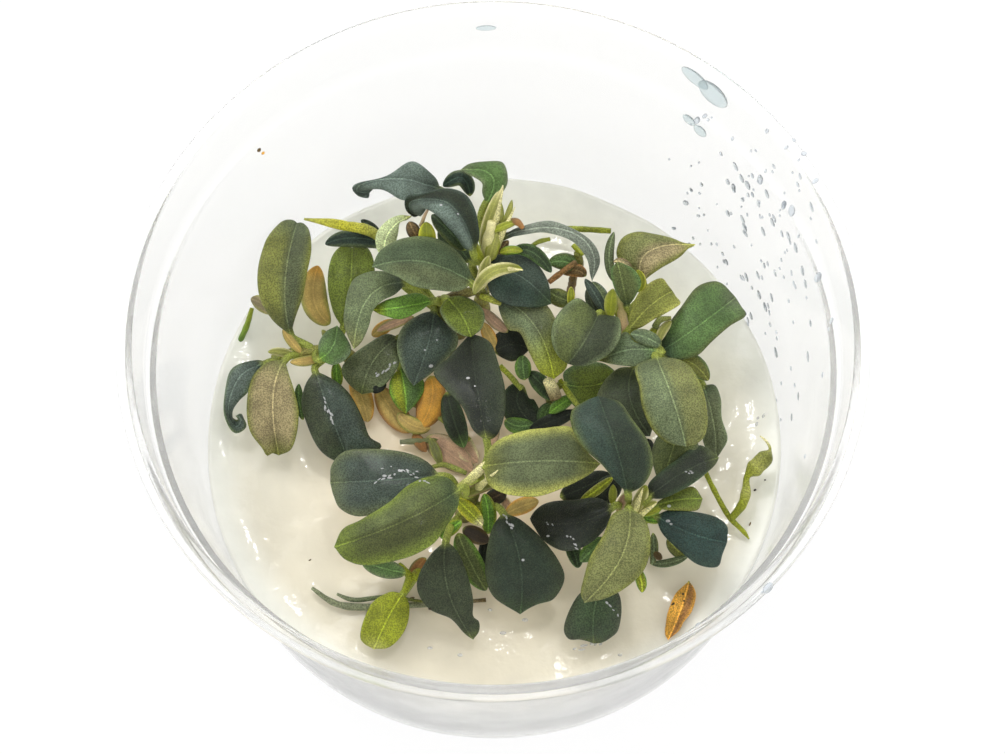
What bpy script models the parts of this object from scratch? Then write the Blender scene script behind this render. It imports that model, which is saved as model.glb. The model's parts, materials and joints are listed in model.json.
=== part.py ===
"""Bucephalandra plantlets standing in pale gel in a clear culture cup, as separate solids.

Lengths are in millimetres until a mesh is finished, which makes them metres.
X runs to the right, Y away from the viewer and Z up from the cup's underside.
"""

import math
from dataclasses import dataclass

import bmesh
import bpy
from mathutils import Matrix, Vector

MM = 0.001
GAP = 0.3

# Cup
CUP_HEIGHT = 51.0
CUP_FLOOR = 1.2
CUP_WALL = 0.9
BASE_RADIUS = 38.2
STEP_HEIGHT = 42.0
STEP_RADIUS = 41.9
COLLAR_RADIUS = 42.9
RIM_RADIUS = 43.5
LIP_RADIUS = 44.5
LIP_THICKNESS = 1.1
LIP_ROUNDING = 0.3
SHOULDER_RISE = 0.8
INNER_SHOULDER_RISE = 1.2
FOOT_ROUNDING = 1.6
ROUND_SEGMENTS = 36

# Gel
GEL_LEVEL = 12.0
GEL_RINGS = (34.5, 27.0, 19.5, 12.0, 5.5)
MENISCUS_RISE = 0.7
MENISCUS_START = 34.0
WAVE_HEIGHT = 0.3
WAVE_RATES = (0.21, 0.17)
WAVE_PHASE = 0.5
RIPPLE_HEIGHT = 0.15
RIPPLE_RATES = (0.43, 0.31)
RIPPLE_PHASE = 1.1

# Stems: the radius lost towards the crown, the bud that ends it, and the length the gel's socket follows
STEM_SIDES = 8
STEM_SPANS = 5
STEM_TAPER = 0.25
BUD_SHARPNESS = 5.0
BUD_TIP = 0.35
SOCKET_REACH = (-0.03, 0.75)

# Bracts
BRACT_SIDES = 5
BRACT_SPANS = 3
BRACT_TIP_HALF_WIDTH = 0.1
BRACT_TAPER = 1.5
BRACT_BOW = 0.8
BRACT_FLATNESS = 0.6

# Leaves and stalks
LEAF_SIDES = 8
STALK_SPANS = 2
BLADE_SPANS = 6
STALK_HALF_WIDTH = 0.55
STALK_HALF_THICKNESS = 0.42
BLADE_HALF_THICKNESS = 0.27
TIP_HALF_WIDTH = 0.2
STALK_STANDOFF = 0.45
STALK_REACH = 0.4
STALK_LIFT = 0.5
BLADE_THINNING = 4.0

# The smallest step along a curve that gives its direction
NUDGE = 0.01

# Edges that turn more than this stay sharp when a piece is shaded
SHARP_ANGLE = math.radians(50.0)

# Viewpoint of the picture, which is 1005 by 754 pixels
PICTURE_CENTRE = (502.5, 377.0)
FOCAL_LENGTH = 2233.0
VIEW_ELEVATION = math.radians(69.0)
VIEW_AZIMUTH = math.radians(-2.0)
VIEW_DISTANCE = 271.7
VIEW_SHIFT = (1.12, -2.43)

TOWARDS_VIEWER = Vector((
    math.sin(VIEW_AZIMUTH) * math.cos(VIEW_ELEVATION),
    -math.cos(VIEW_AZIMUTH) * math.cos(VIEW_ELEVATION),
    math.sin(VIEW_ELEVATION),
))
VIEW_RIGHT = Vector((math.cos(VIEW_AZIMUTH), math.sin(VIEW_AZIMUTH), 0.0))
VIEW_UP = TOWARDS_VIEWER.cross(VIEW_RIGHT)
VIEW_AIM = Vector((0.0, 0.0, STEP_HEIGHT)) + VIEW_RIGHT * VIEW_SHIFT[0] + VIEW_UP * VIEW_SHIFT[1]
VIEW_EYE = VIEW_AIM + TOWARDS_VIEWER * VIEW_DISTANCE

# Outlines of a blade, as how full it is towards its stalk and towards its tip
OVAL = (0.55, 0.55)
EGG = (0.4, 0.7)
SPOON = (0.8, 0.35)
LANCE = (0.75, 0.85)
BLUNT = (0.6, 0.25)
ROUNDED = (0.58, 0.38)
WEDGE = (0.73, 0.48)
TAPERED = (0.48, 0.85)
PADDLE = (0.85, 0.22)
PEAR = (0.5, 0.25)
HEART = (0.5, 0.7)
KITE = (0.85, 0.6)

# Tones
DEEP_GREEN = (0.02, 0.04, 0.02)
SLATE = (0.05, 0.09, 0.08)
TEAL = (0.04, 0.1, 0.08)
GREY_GREEN = (0.13, 0.19, 0.12)
OLIVE = (0.2, 0.23, 0.05)
PALE_OLIVE = (0.33, 0.36, 0.12)
FRESH = (0.12, 0.3, 0.03)
LIME = (0.45, 0.5, 0.03)
ROSY = (0.35, 0.24, 0.14)
AMBER = (0.6, 0.3, 0.05)
STEM_GREEN = (0.3, 0.3, 0.08)
ROOT_GREY = (0.3, 0.33, 0.25)
GEL_CREAM = (0.8, 0.72, 0.55)
CLEAR = (0.95, 0.95, 0.95)


@dataclass(frozen=True)
class Mark:
    """A pixel of the picture, and the height of what it shows."""

    column: float
    row: float
    height: float

    def place(self):
        """The point at that height behind the pixel."""
        ray = (
            VIEW_RIGHT * (self.column - PICTURE_CENTRE[0])
            + VIEW_UP * (PICTURE_CENTRE[1] - self.row)
            - TOWARDS_VIEWER * FOCAL_LENGTH
        )
        return VIEW_EYE + ray * ((self.height - VIEW_EYE.z) / ray.z)


@dataclass(frozen=True)
class Stem:
    """A short stem: its foot stands in the gel and its crown carries leaves."""

    name: str
    foot: Mark
    bend: Mark
    crown: Mark
    radius: float = 1.1

    def axis(self, along):
        """The point on the axis, from 0 at the foot to 1 at the crown."""
        return bezier((self.foot.place(), self.bend.place(), self.crown.place()), along)

    def heading(self, along):
        """The direction of growth there."""
        return (self.axis(along + NUDGE) - self.axis(along - NUDGE)).normalized()

    def thickness(self, along):
        """The radius there: a little slimmer towards the crown."""
        return self.radius * (1.0 - STEM_TAPER * along)


@dataclass(frozen=True)
class Bract:
    """A pointed sheath that grows out of a stem, in one piece with it."""

    joint: float
    tip: Mark
    half_width: float = 0.7


@dataclass(frozen=True)
class Leaf:
    """A leaf with its stalk. Its joint says how far up the stem the stalk leaves it."""

    name: str
    stem: str
    joint: float
    base: Mark
    middle: Mark
    tip: Mark
    width: float
    outline: tuple
    tone: tuple
    camber: float = 0.15


STEMS = (
    Stem("stem_back", Mark(484, 318, 9.6), Mark(482, 292, 18), Mark(488, 262, 27)),
    Stem("stem_centre", Mark(462, 336, 9.6), Mark(452, 322, 17), Mark(438, 297, 22)),
    Stem("stem_left", Mark(356, 372, 9.6), Mark(338, 352, 18), Mark(272, 357, 18), 1.0),
    Stem("stem_back_right", Mark(570, 300, 9.6), Mark(572, 282, 16), Mark(577, 258, 21), 0.9),
    Stem("stem_middle", Mark(556, 412, 9.6), Mark(552, 398, 15), Mark(549, 380, 20), 1.0),
    Stem("stem_right", Mark(628, 350, 9.6), Mark(624, 334, 18), Mark(622, 316, 23)),
    Stem("stem_front_right", Mark(630, 540, 9.6), Mark(632, 528, 16), Mark(631, 512, 22), 1.2),
    Stem("stem_front", Mark(462, 520, 9.6), Mark(468, 505, 16), Mark(474, 487, 22), 1.2),
    Stem("stem_front_left", Mark(436, 568, 9.6), Mark(426, 572, 14), Mark(412, 574, 16), 0.8),
)

BRACTS = {
    "stem_back": (
        Bract(0.9, Mark(503, 190, 33), 0.8),
        Bract(0.9, Mark(515, 207, 32.5), 0.7),
        Bract(0.9, Mark(523, 270, 32), 0.7),
    ),
    "stem_right": (Bract(0.85, Mark(608, 293, 27), 0.7),),
    "stem_front_right": (Bract(0.9, Mark(643, 488, 27), 0.7), Bract(0.8, Mark(657, 503, 25.5), 0.7)),
    "stem_front": (Bract(0.85, Mark(498, 470, 30), 0.7),),
}

LEAVES = (
    Leaf("leaf_upper_left_1", "stem_left", 0.75, Mark(291, 335, 21), Mark(283, 283, 26),
         Mark(294, 219, 23), 7.2, ROUNDED, OLIVE, 0.25),
    Leaf("leaf_upper_left_2", "stem_left", 0.5, Mark(343, 328, 18.5), Mark(346, 288, 22),
         Mark(351, 245, 21.5), 5.9, BLUNT, OLIVE, 0.2),
    Leaf("leaf_upper_left_3", "stem_centre", 0.6, Mark(396, 268, 21), Mark(385, 244, 25),
         Mark(407, 213, 31), 3.2, OVAL, GREY_GREEN, 0.3),
    Leaf("leaf_upper_left_4", "stem_centre", 0.86, Mark(404, 284, 24), Mark(366, 297, 26),
         Mark(356, 349, 23.5), 5.2, OVAL, GREY_GREEN, 0.3),
    Leaf("leaf_back_1", "stem_back", 0.5, Mark(444, 190, 28), Mark(404, 179, 31),
         Mark(351, 190, 28), 4.6, TAPERED, SLATE, 0.35),
    Leaf("leaf_back_2", "stem_back", 0.9, Mark(488, 203, 31), Mark(494, 173, 34),
         Mark(461, 170, 32), 3.2, OVAL, FRESH, 0.35),
    Leaf("leaf_back_3", "stem_back", 0.97, Mark(473, 252, 29), Mark(465, 212, 34),
         Mark(406, 208, 31), 5.6, OVAL, SLATE, 0.3),
    Leaf("leaf_back_4", "stem_back", 0.8, Mark(473, 284, 27.5), Mark(422, 263, 31),
         Mark(371, 266, 28), 6.8, OVAL, GREY_GREEN, 0.3),
    Leaf("leaf_back_5", "stem_back", 0.8, Mark(508, 242, 28.5), Mark(560, 228, 32),
         Mark(591, 282, 27), 2.2, LANCE, DEEP_GREEN, 0.5),
    Leaf("leaf_back_6", "stem_back", 0.7, Mark(494, 267, 26), Mark(518, 279, 27),
         Mark(553, 301, 25.2), 6.2, OVAL, SLATE, 0.3),
    Leaf("leaf_back_7", "stem_back", 0.5, Mark(500, 302, 22.5), Mark(534, 328, 25),
         Mark(555, 378, 22), 5.2, OVAL, GREY_GREEN, 0.3),
    Leaf("leaf_centre_1", "stem_centre", 0.95, Mark(432, 301, 24), Mark(402, 307, 25),
         Mark(372, 310, 24), 2.9, LANCE, FRESH, 0.3),
    Leaf("leaf_centre_2", "stem_centre", 0.95, Mark(450, 299, 24), Mark(461, 314, 25),
         Mark(470, 338, 24), 5.2, OVAL, FRESH, 0.25),
    Leaf("leaf_centre_3", "stem_centre", 0.54, Mark(435, 309, 21.5), Mark(428, 345, 22),
         Mark(414, 384, 18.5), 7.6, OVAL, TEAL, 0.3),
    Leaf("leaf_centre_4", "stem_centre", 0.38, Mark(397, 330, 19), Mark(376, 356, 19),
         Mark(362, 393, 16.5), 6.4, OVAL, DEEP_GREEN, 0.3),
    Leaf("leaf_centre_5", "stem_centre", 0.25, Mark(400, 368, 16.5), Mark(403, 391, 17),
         Mark(404, 413, 15), 4.4, OVAL, FRESH, 0.2),
    Leaf("leaf_left_1", "stem_left", 0.85, Mark(284, 358, 20.5), Mark(271, 402, 20),
         Mark(279, 456, 15), 6.8, ROUNDED, ROSY, -0.2),
    Leaf("leaf_left_2", "stem_left", 0.95, Mark(265, 363, 18.5), Mark(233, 379, 18),
         Mark(232, 422, 15), 2.6, OVAL, TEAL, 0.4),
    Leaf("leaf_left_3", "stem_left", 0.6, Mark(313, 370, 19.5), Mark(333, 412, 19.5),
         Mark(344, 459, 15.5), 8.0, OVAL, DEEP_GREEN, 0.3),
    Leaf("leaf_left_4", "stem_left", 0.7, Mark(321, 358, 21), Mark(333, 347, 22),
         Mark(346, 330, 21), 3.8, OVAL, FRESH, 0.2),
    Leaf("leaf_right_1", "stem_right", 0.9, Mark(602, 311, 26), Mark(584, 340, 27.5),
         Mark(580, 366, 25), 8.8, EGG, GREY_GREEN, 0.2),
    Leaf("leaf_right_2", "stem_right", 0.8, Mark(647, 337, 24.7), Mark(629, 347, 25.3),
         Mark(600, 364, 23.5), 4.6, OVAL, FRESH, 0.2),
    Leaf("leaf_right_3", "stem_right", 0.95, Mark(643, 283, 26), Mark(640, 250, 29),
         Mark(696, 245, 28), 5.6, HEART, OLIVE, 0.3),
    Leaf("leaf_right_4", "stem_right", 0.98, Mark(625, 306, 25.5), Mark(625, 286, 28.5),
         Mark(622, 262, 30), 3.2, OVAL, TEAL, -0.4),
    Leaf("leaf_right_5", "stem_right", 0.9, Mark(632, 329, 24.5), Mark(655, 299, 26.8),
         Mark(682, 300, 26), 5.4, WEDGE, OLIVE, 0.2),
    Leaf("leaf_right_6", "stem_right", 0.4, Mark(659, 352, 22), Mark(702, 323, 25),
         Mark(744, 304, 22), 6.8, BLUNT, FRESH, 0.25),
    Leaf("leaf_right_7", "stem_right", 0.6, Mark(658, 357, 25.8), Mark(672, 400, 30),
         Mark(683, 446, 26), 8.8, PEAR, GREY_GREEN, 0.3),
    Leaf("leaf_right_8", "stem_right", 0.3, Mark(678, 422, 23), Mark(673, 450, 23),
         Mark(661, 483, 22), 5.8, OVAL, TEAL, 0.2),
    Leaf("leaf_middle_1", "stem_middle", 0.75, Mark(565, 388, 19), Mark(592, 384, 18.5),
         Mark(620, 374, 17), 4.6, OVAL, TEAL, 0.2),
    Leaf("leaf_middle_2", "stem_right", 0.25, Mark(616, 375, 20.5), Mark(622, 402, 23),
         Mark(634, 434, 20), 5.8, OVAL, OLIVE, 0.2),
    Leaf("leaf_front_right_1", "stem_front_right", 0.97, Mark(628, 492, 27), Mark(615, 447, 33),
         Mark(590, 398, 31), 8.6, WEDGE, TEAL, 0.3),
    Leaf("leaf_front_right_2", "stem_front_right", 0.85, Mark(628, 511, 25.5), Mark(620, 556, 28),
         Mark(591, 602, 24), 7.6, ROUNDED, PALE_OLIVE, 0.25),
    Leaf("leaf_front_right_3", "stem_front_right", 0.5, Mark(656, 517, 21), Mark(692, 535, 21.5),
         Mark(725, 547, 19), 6.8, PADDLE, TEAL, 0.15),
    Leaf("leaf_front_right_4", "stem_front_right", 0.3, Mark(602, 584, 17.5), Mark(594, 612, 17.5),
         Mark(592, 643, 14.5), 7.2, BLUNT, DEEP_GREEN, 0.3),
    Leaf("leaf_front_right_5", "stem_front_right", 0.7, Mark(653, 508, 22), Mark(678, 501, 22),
         Mark(702, 498, 20.5), 3.3, SPOON, OLIVE, 0.2),
    Leaf("leaf_front_right_6", "stem_front_right", 0.92, Mark(648, 498, 24), Mark(684, 477, 24),
         Mark(718, 449, 20), 4.6, OVAL, SLATE, 0.2),
    Leaf("leaf_front_right_7", "stem_right", 0.2, Mark(702, 392, 19.5), Mark(714, 421, 19.5),
         Mark(712, 457, 17), 3.6, OVAL, OLIVE, 0.2),
    Leaf("leaf_front_right_8", "stem_front_right", 0.75, Mark(612, 505, 24), Mark(576, 520, 23.5),
         Mark(536, 528, 18.5), 6.6, ROUNDED, DEEP_GREEN, 0.3),
    Leaf("leaf_front_1", "stem_front", 0.95, Mark(486, 463, 27), Mark(540, 461, 30.5),
         Mark(596, 465, 28), 8.2, OVAL, PALE_OLIVE, 0.25),
    Leaf("leaf_front_2", "stem_front", 0.7, Mark(440, 477, 24), Mark(386, 483, 25),
         Mark(329, 476, 21), 8.3, OVAL, DEEP_GREEN, 0.2),
    Leaf("leaf_front_3", "stem_front", 0.9, Mark(459, 490, 28), Mark(402, 523, 30),
         Mark(339, 553, 26), 7.9, ROUNDED, OLIVE, 0.3),
    Leaf("leaf_front_4", "stem_front", 0.6, Mark(506, 514, 21), Mark(523, 562, 21.5),
         Mark(527, 613, 16), 10.4, SPOON, DEEP_GREEN, 0.3),
    Leaf("leaf_front_5", "stem_front", 0.8, Mark(487, 442, 26), Mark(476, 390, 27),
         Mark(470, 335, 23), 8.2, KITE, SLATE, 0.25),
    Leaf("leaf_front_6", "stem_front", 0.5, Mark(449, 540, 21), Mark(445, 586, 20),
         Mark(473, 639, 14.5), 7.5, TAPERED, DEEP_GREEN, 0.3),
    Leaf("leaf_front_left_1", "stem_front_left", 0.9, Mark(405, 590, 15.5), Mark(388, 620, 15.5),
         Mark(376, 651, 14), 6.2, ROUNDED, LIME, 0.15),
)

# The rolled shoot at the far right: a stalk that ends on the gel, and a rolled blade from its bend
SHOOT_STALK = (
    Mark(701, 462, 18),
    Mark(712, 488, 16.5),
    Mark(729, 517, 14.5),
    Mark(749, 539, 12.9),
)
SHOOT_STALK_RADIUS = 0.42
SHOOT_TAPER_START = 0.8
SHOOT_END_SHARE = 0.35
SHOOT_BLADE = (
    Mark(729, 517, 14.5),
    Mark(743, 499, 15.0),
    Mark(746, 476, 15.6),
    Mark(758, 459, 16.0),
    Mark(769, 441, 15.4),
)
SHOOT_BLADE_RADIUS = 0.72
SHOOT_BEND_SHARE = 0.6
SHOOT_TIP_LOSS = 0.8
BULGE_HEIGHT = 0.45
BULGE_PLACE = 0.78
BULGE_LENGTH = 0.1
SHOOT_SPANS = 8
ROUTE_SIDES = 6

# The young leaf at the upper left, still rolled into a spear
SPEAR_ROUTE = (
    Mark(449, 318, 15.5),
    Mark(420, 284, 18.5),
    Mark(378, 236, 23),
    Mark(341, 225, 26),
    Mark(304, 219, 27),
)
SPEAR_RADIUS = 0.75
SPEAR_STALK_SHARE = 0.55
SPEAR_SPANS = 6

# The root that lies on the gel
ROOT_ROUTE = (
    Mark(312, 588, 12.9),
    Mark(337, 604, 12.9),
    Mark(372, 607, 12.9),
    Mark(430, 604, 12.9),
    Mark(486, 600, 12.9),
)
ROOT_RADIUS = 0.45
ROOT_END_SHARE = 0.5
ROOT_SPANS = 10

# The leaf that was shed
FALLEN_LEAF = (Mark(690, 582, 12.9), Mark(679, 608, 13.2), Mark(669, 638, 12.9))
FALLEN_WIDTH = 3.4


def bezier(points, along):
    """A point on the curve that passes through three points, the second one half way."""
    first, middle, last = points
    handle = middle * 2.0 - (first + last) * 0.5
    rest = 1.0 - along
    return first * rest * rest + handle * (2.0 * rest * along) + last * (along * along)


def bezier_heading(points, along):
    """The direction of that curve."""
    return (bezier(points, along + NUDGE) - bezier(points, along - NUDGE)).normalized()


def cubic(points, along):
    """A point on a cubic Bezier curve of four control points."""
    rest = 1.0 - along
    weights = (rest ** 3, 3.0 * rest * rest * along, 3.0 * rest * along * along, along ** 3)
    return sum((point * weight for point, weight in zip(points, weights)), Vector((0.0, 0.0, 0.0)))


def smooth_route(points, along):
    """A point on the smooth curve through a list of points."""
    spans = len(points) - 1
    span = min(int(along * spans), spans - 1)
    local = along * spans - span
    before = points[max(span - 1, 0)]
    start = points[span]
    end = points[span + 1]
    after = points[min(span + 2, spans)]
    leave = (end - before) * 0.5
    arrive = (after - start) * 0.5
    return cubic((start, start + leave / 3.0, end - arrive / 3.0, end), local)


def mixed(low, high, amount):
    """A value between two others."""
    return low + (high - low) * amount


def swept_body(place, spans, sides):
    """A closed body: a unit cylinder whose points are placed by along, across and up."""
    body = bmesh.new()
    bmesh.ops.create_cone(
        body, cap_ends=True, segments=sides, radius1=1.0, radius2=1.0, depth=1.0
    )
    long_edges = [edge for edge in body.edges if abs(edge.verts[0].co.z - edge.verts[1].co.z) > 0.5]
    bmesh.ops.subdivide_edges(body, edges=long_edges, cuts=spans - 1, use_grid_fill=True)
    for vert in body.verts:
        vert.co = place(vert.co.z + 0.5, vert.co.x, vert.co.y)
    return body


def turned_body(profile, segments):
    """A solid of revolution about Z, from a profile whose two ends lie on the axis."""
    body = bmesh.new()
    verts = [body.verts.new((radius, 0.0, height)) for radius, height in profile]
    edges = [body.edges.new(pair) for pair in zip(verts, verts[1:])]
    bmesh.ops.spin(
        body, geom=verts + edges, cent=(0, 0, 0), axis=(0, 0, 1), dvec=(0, 0, 0),
        angle=math.tau, steps=segments, use_merge=True,
    )
    bmesh.ops.remove_doubles(body, verts=body.verts, dist=0.001)
    return body


def material(name, colour, roughness, alpha=1.0):
    """A plain finish for one sub-part."""
    finish = bpy.data.materials.new(name)
    finish.use_nodes = True
    shader = finish.node_tree.nodes["Principled BSDF"]
    shader.inputs["Base Color"].default_value = (*colour, 1.0)
    shader.inputs["Roughness"].default_value = roughness
    shader.inputs["Metallic"].default_value = 0.0
    shader.inputs["Alpha"].default_value = alpha
    return finish


def finished(name, body, colour, roughness=0.4, alpha=1.0):
    """Turns a body in millimetres into a named object in metres with its finish."""
    if body.calc_volume(signed=True) < 0.0:
        bmesh.ops.reverse_faces(body, faces=body.faces)
    bmesh.ops.transform(body, matrix=Matrix.Scale(MM, 4), verts=body.verts)
    mesh = bpy.data.meshes.new(name)
    body.to_mesh(mesh)
    body.free()
    mesh.shade_smooth()
    mesh.set_sharp_from_angle(angle=SHARP_ANGLE)
    mesh.materials.append(material(name, colour, roughness, alpha))
    piece = bpy.data.objects.new(name, mesh)
    bpy.context.collection.objects.link(piece)
    return piece


def wall_radius(height):
    """The outer radius of the cup's tapered wall."""
    return mixed(BASE_RADIUS, STEP_RADIUS, height / STEP_HEIGHT)


def gel_top(x, y):
    """The height of the gel's gently wavy top, with its rise at the wall."""
    waves = WAVE_HEIGHT * math.sin(WAVE_RATES[0] * x + WAVE_PHASE) * math.cos(WAVE_RATES[1] * y)
    ripples = RIPPLE_HEIGHT * math.sin(RIPPLE_RATES[0] * x - RIPPLE_RATES[1] * y + RIPPLE_PHASE)
    rise = max(math.hypot(x, y) - MENISCUS_START, 0.0) / (BASE_RADIUS - MENISCUS_START)
    return GEL_LEVEL + waves + ripples + MENISCUS_RISE * rise * rise


def make_cup():
    """The clear cup: rounded foot, tapered wall, shoulder, collar and lip."""
    half_round = FOOT_ROUNDING * (1.0 - math.cos(math.radians(45.0)))
    profile = (
        (0.0, 0.0),
        (BASE_RADIUS - FOOT_ROUNDING, 0.0),
        (BASE_RADIUS - half_round, half_round),
        (wall_radius(FOOT_ROUNDING), FOOT_ROUNDING),
        (STEP_RADIUS, STEP_HEIGHT),
        (COLLAR_RADIUS, STEP_HEIGHT + SHOULDER_RISE),
        (RIM_RADIUS, CUP_HEIGHT - LIP_THICKNESS),
        (LIP_RADIUS, CUP_HEIGHT - LIP_THICKNESS),
        (LIP_RADIUS, CUP_HEIGHT - LIP_ROUNDING),
        (LIP_RADIUS - LIP_ROUNDING, CUP_HEIGHT),
        (RIM_RADIUS - CUP_WALL, CUP_HEIGHT),
        (COLLAR_RADIUS - CUP_WALL, STEP_HEIGHT + INNER_SHOULDER_RISE),
        (STEP_RADIUS - CUP_WALL, STEP_HEIGHT),
        (wall_radius(CUP_FLOOR) - CUP_WALL, CUP_FLOOR),
        (0.0, CUP_FLOOR),
    )
    return finished("cup", turned_body(profile, ROUND_SEGMENTS), CLEAR, 0.08, 0.3)


def make_gel(stems):
    """The gel disc, with a socket around the foot of each stem."""
    bottom = CUP_FLOOR + GAP
    low_radius = wall_radius(bottom) - CUP_WALL - GAP
    high_radius = wall_radius(GEL_LEVEL) - CUP_WALL - GAP
    profile = [(0.0, bottom), (low_radius, bottom), (high_radius, GEL_LEVEL)]
    profile += [(radius, GEL_LEVEL) for radius in GEL_RINGS]
    profile.append((0.0, GEL_LEVEL))
    body = turned_body(profile, ROUND_SEGMENTS)
    for vert in body.verts:
        if vert.co.z > GEL_LEVEL - 0.01:
            vert.co.z = gel_top(vert.co.x, vert.co.y)
    gel = finished("gel", body, GEL_CREAM, 0.25)
    cut = gel.modifiers.new("sockets", "BOOLEAN")
    cut.operation = "DIFFERENCE"
    cut.solver = "EXACT"
    cut.object = make_sockets(stems)
    return gel


def make_sockets(stems):
    """The cutter for the sockets: each foot, a gap wider all round."""
    cutters = bmesh.new()
    for stem in stems:
        part = swept_body(stem_placer(stem, GAP, SOCKET_REACH), STEM_SPANS, STEM_SIDES)
        mesh = bpy.data.meshes.new("socket_part")
        part.to_mesh(mesh)
        part.free()
        cutters.from_mesh(mesh)
        bpy.data.meshes.remove(mesh)
    sockets = finished("sockets_cutter", cutters, GEL_CREAM)
    sockets.hide_render = True
    sockets.display_type = "WIRE"
    return sockets


def stem_placer(stem, clearance=0.0, stretch=(0.0, 1.0)):
    """How a stem's points lie around its axis; the crown ends in a pointed bud."""

    def place(along, across, up):
        station = mixed(stretch[0], stretch[1], along)
        heading = stem.heading(station)
        side = heading.cross(Vector((0.0, 1.0, 0.0))).normalized()
        front = side.cross(heading)
        bud = 1.0 if clearance else min(1.0, (1.0 - along) * BUD_SHARPNESS + BUD_TIP)
        radius = stem.thickness(station) * bud + clearance
        return stem.axis(station) + (side * across + front * up) * radius

    return place


def joined(piece, name, body):
    """Joins a body to a piece that it grows from."""
    branch = finished(name, body, STEM_GREEN)
    branch.hide_render = True
    branch.display_type = "WIRE"
    union = piece.modifiers.new(name, "BOOLEAN")
    union.operation = "UNION"
    union.solver = "EXACT"
    union.object = branch


def bract_placer(bract, stem):
    """How a bract's points lie: a flat sheath that narrows to its tip."""
    root = stem.axis(bract.joint)
    tip = bract.tip.place()
    heading = (tip - root).normalized()
    side = heading.cross(TOWARDS_VIEWER).normalized()
    normal = side.cross(heading)

    def place(along, across, up):
        half_width = mixed(bract.half_width, BRACT_TIP_HALF_WIDTH, along ** BRACT_TAPER)
        centre = root.lerp(tip, along) + normal * (BRACT_BOW * math.sin(math.pi * along))
        return centre + side * (half_width * across) + normal * (half_width * BRACT_FLATNESS * up)

    return place


def make_stem(stem):
    """One stem with its bracts."""
    piece = finished(stem.name, swept_body(stem_placer(stem), STEM_SPANS, STEM_SIDES), STEM_GREEN)
    for number, bract in enumerate(BRACTS.get(stem.name, ()), 1):
        body = swept_body(bract_placer(bract, stem), BRACT_SPANS, BRACT_SIDES)
        joined(piece, f"{stem.name}_bract_{number}", body)
    return piece


def outline_width(outline, along):
    """How wide a blade is there, as a share of its greatest width."""
    fuller, finer = outline
    widest = fuller / (fuller + finer)
    peak = widest ** fuller * (1.0 - widest) ** finer
    return (along ** fuller) * ((1.0 - along) ** finer) / peak


def stalk_route(leaf, stem, blade):
    """The control points of a stalk, from its stem to its blade."""
    joint = stem.axis(leaf.joint)
    growth = stem.heading(leaf.joint)
    towards = blade[0] - joint
    outwards = (towards - growth * towards.dot(growth)).normalized()
    start = joint + outwards * (stem.thickness(leaf.joint) + STALK_STANDOFF)
    reach = (blade[0] - start).length * STALK_REACH
    leave = (outwards + growth * STALK_LIFT).normalized()
    arrive = bezier_heading(blade, 0.0)
    return (start, start + leave * reach, blade[0] - arrive * reach, blade[0])


def blade_station(part):
    """Rings crowd towards the two ends of a blade, where its outline turns."""
    return 0.5 - 0.5 * math.cos(math.pi * part)


def leaf_placer(leaf, stem):
    """How a leaf's points lie: along its stalk and blade, across it, and over or under."""
    blade = (leaf.base.place(), leaf.middle.place(), leaf.tip.place())
    stalk = stalk_route(leaf, stem, blade)
    spans = STALK_SPANS + BLADE_SPANS

    def place(along, across, up):
        ring = along * spans
        if ring <= STALK_SPANS:
            part = ring / STALK_SPANS
            centre = cubic(stalk, part)
            heading = (cubic(stalk, part + NUDGE) - cubic(stalk, part - NUDGE)).normalized()
            half_width = STALK_HALF_WIDTH
            half_thickness = STALK_HALF_THICKNESS
            drop = 0.0
        else:
            part = blade_station((ring - STALK_SPANS) / BLADE_SPANS)
            centre = bezier(blade, part)
            heading = bezier_heading(blade, part)
            least = mixed(STALK_HALF_WIDTH, TIP_HALF_WIDTH, part)
            half_width = max(leaf.width * 0.5 * outline_width(leaf.outline, part), least)
            thinned = min(part * BLADE_THINNING, 1.0)
            half_thickness = mixed(STALK_HALF_THICKNESS, BLADE_HALF_THICKNESS, thinned)
            drop = leaf.camber * half_width * across * across
        side = heading.cross(TOWARDS_VIEWER).normalized()
        normal = side.cross(heading)
        return centre + side * (half_width * across) + normal * (half_thickness * up - drop)

    return place


def make_leaf(leaf, stem):
    """One leaf with its stalk."""
    body = swept_body(leaf_placer(leaf, stem), STALK_SPANS + BLADE_SPANS, LEAF_SIDES)
    return finished(leaf.name, body, leaf.tone)


def route_placer(route, radius):
    """How points lie around a free route; radius gives the thickness along it."""
    points = [mark.place() for mark in route]

    def place(along, across, up):
        centre = smooth_route(points, along)
        ahead = smooth_route(points, min(along + NUDGE, 1.0))
        behind = smooth_route(points, max(along - NUDGE, 0.0))
        heading = (ahead - behind).normalized()
        side = heading.cross(Vector((0.0, 0.0, 1.0))).normalized()
        normal = side.cross(heading)
        return centre + (side * across + normal * up) * radius(along)

    return place


def root_radius(along):
    """A root is slimmer at both ends."""
    return ROOT_RADIUS * mixed(ROOT_END_SHARE, 1.0, math.sin(math.pi * along))


def stalk_radius(along):
    """The shoot's stalk narrows where it ends on the gel."""
    past = max(along - SHOOT_TAPER_START, 0.0) / (1.0 - SHOOT_TAPER_START)
    return SHOOT_STALK_RADIUS * mixed(1.0, SHOOT_END_SHARE, past)


def rolled_radius(along):
    """The rolled blade: slim at the bend, with a bulge near its drawn-out tip."""
    bulge = BULGE_HEIGHT * math.exp(-((along - BULGE_PLACE) / BULGE_LENGTH) ** 2)
    body = SHOOT_BLADE_RADIUS * mixed(SHOOT_BEND_SHARE, 1.0, math.sin(math.pi * along))
    return body * (1.0 - SHOOT_TIP_LOSS * along ** 8) + bulge


def spear_radius(along):
    """The spear: a slim stalk, a fuller rolled blade and a drawn-out tip."""
    body = SPEAR_RADIUS * mixed(SPEAR_STALK_SHARE, 1.0, min(along * 2.0, 1.0))
    return body * (1.0 - SHOOT_TIP_LOSS * along ** 8)


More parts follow.
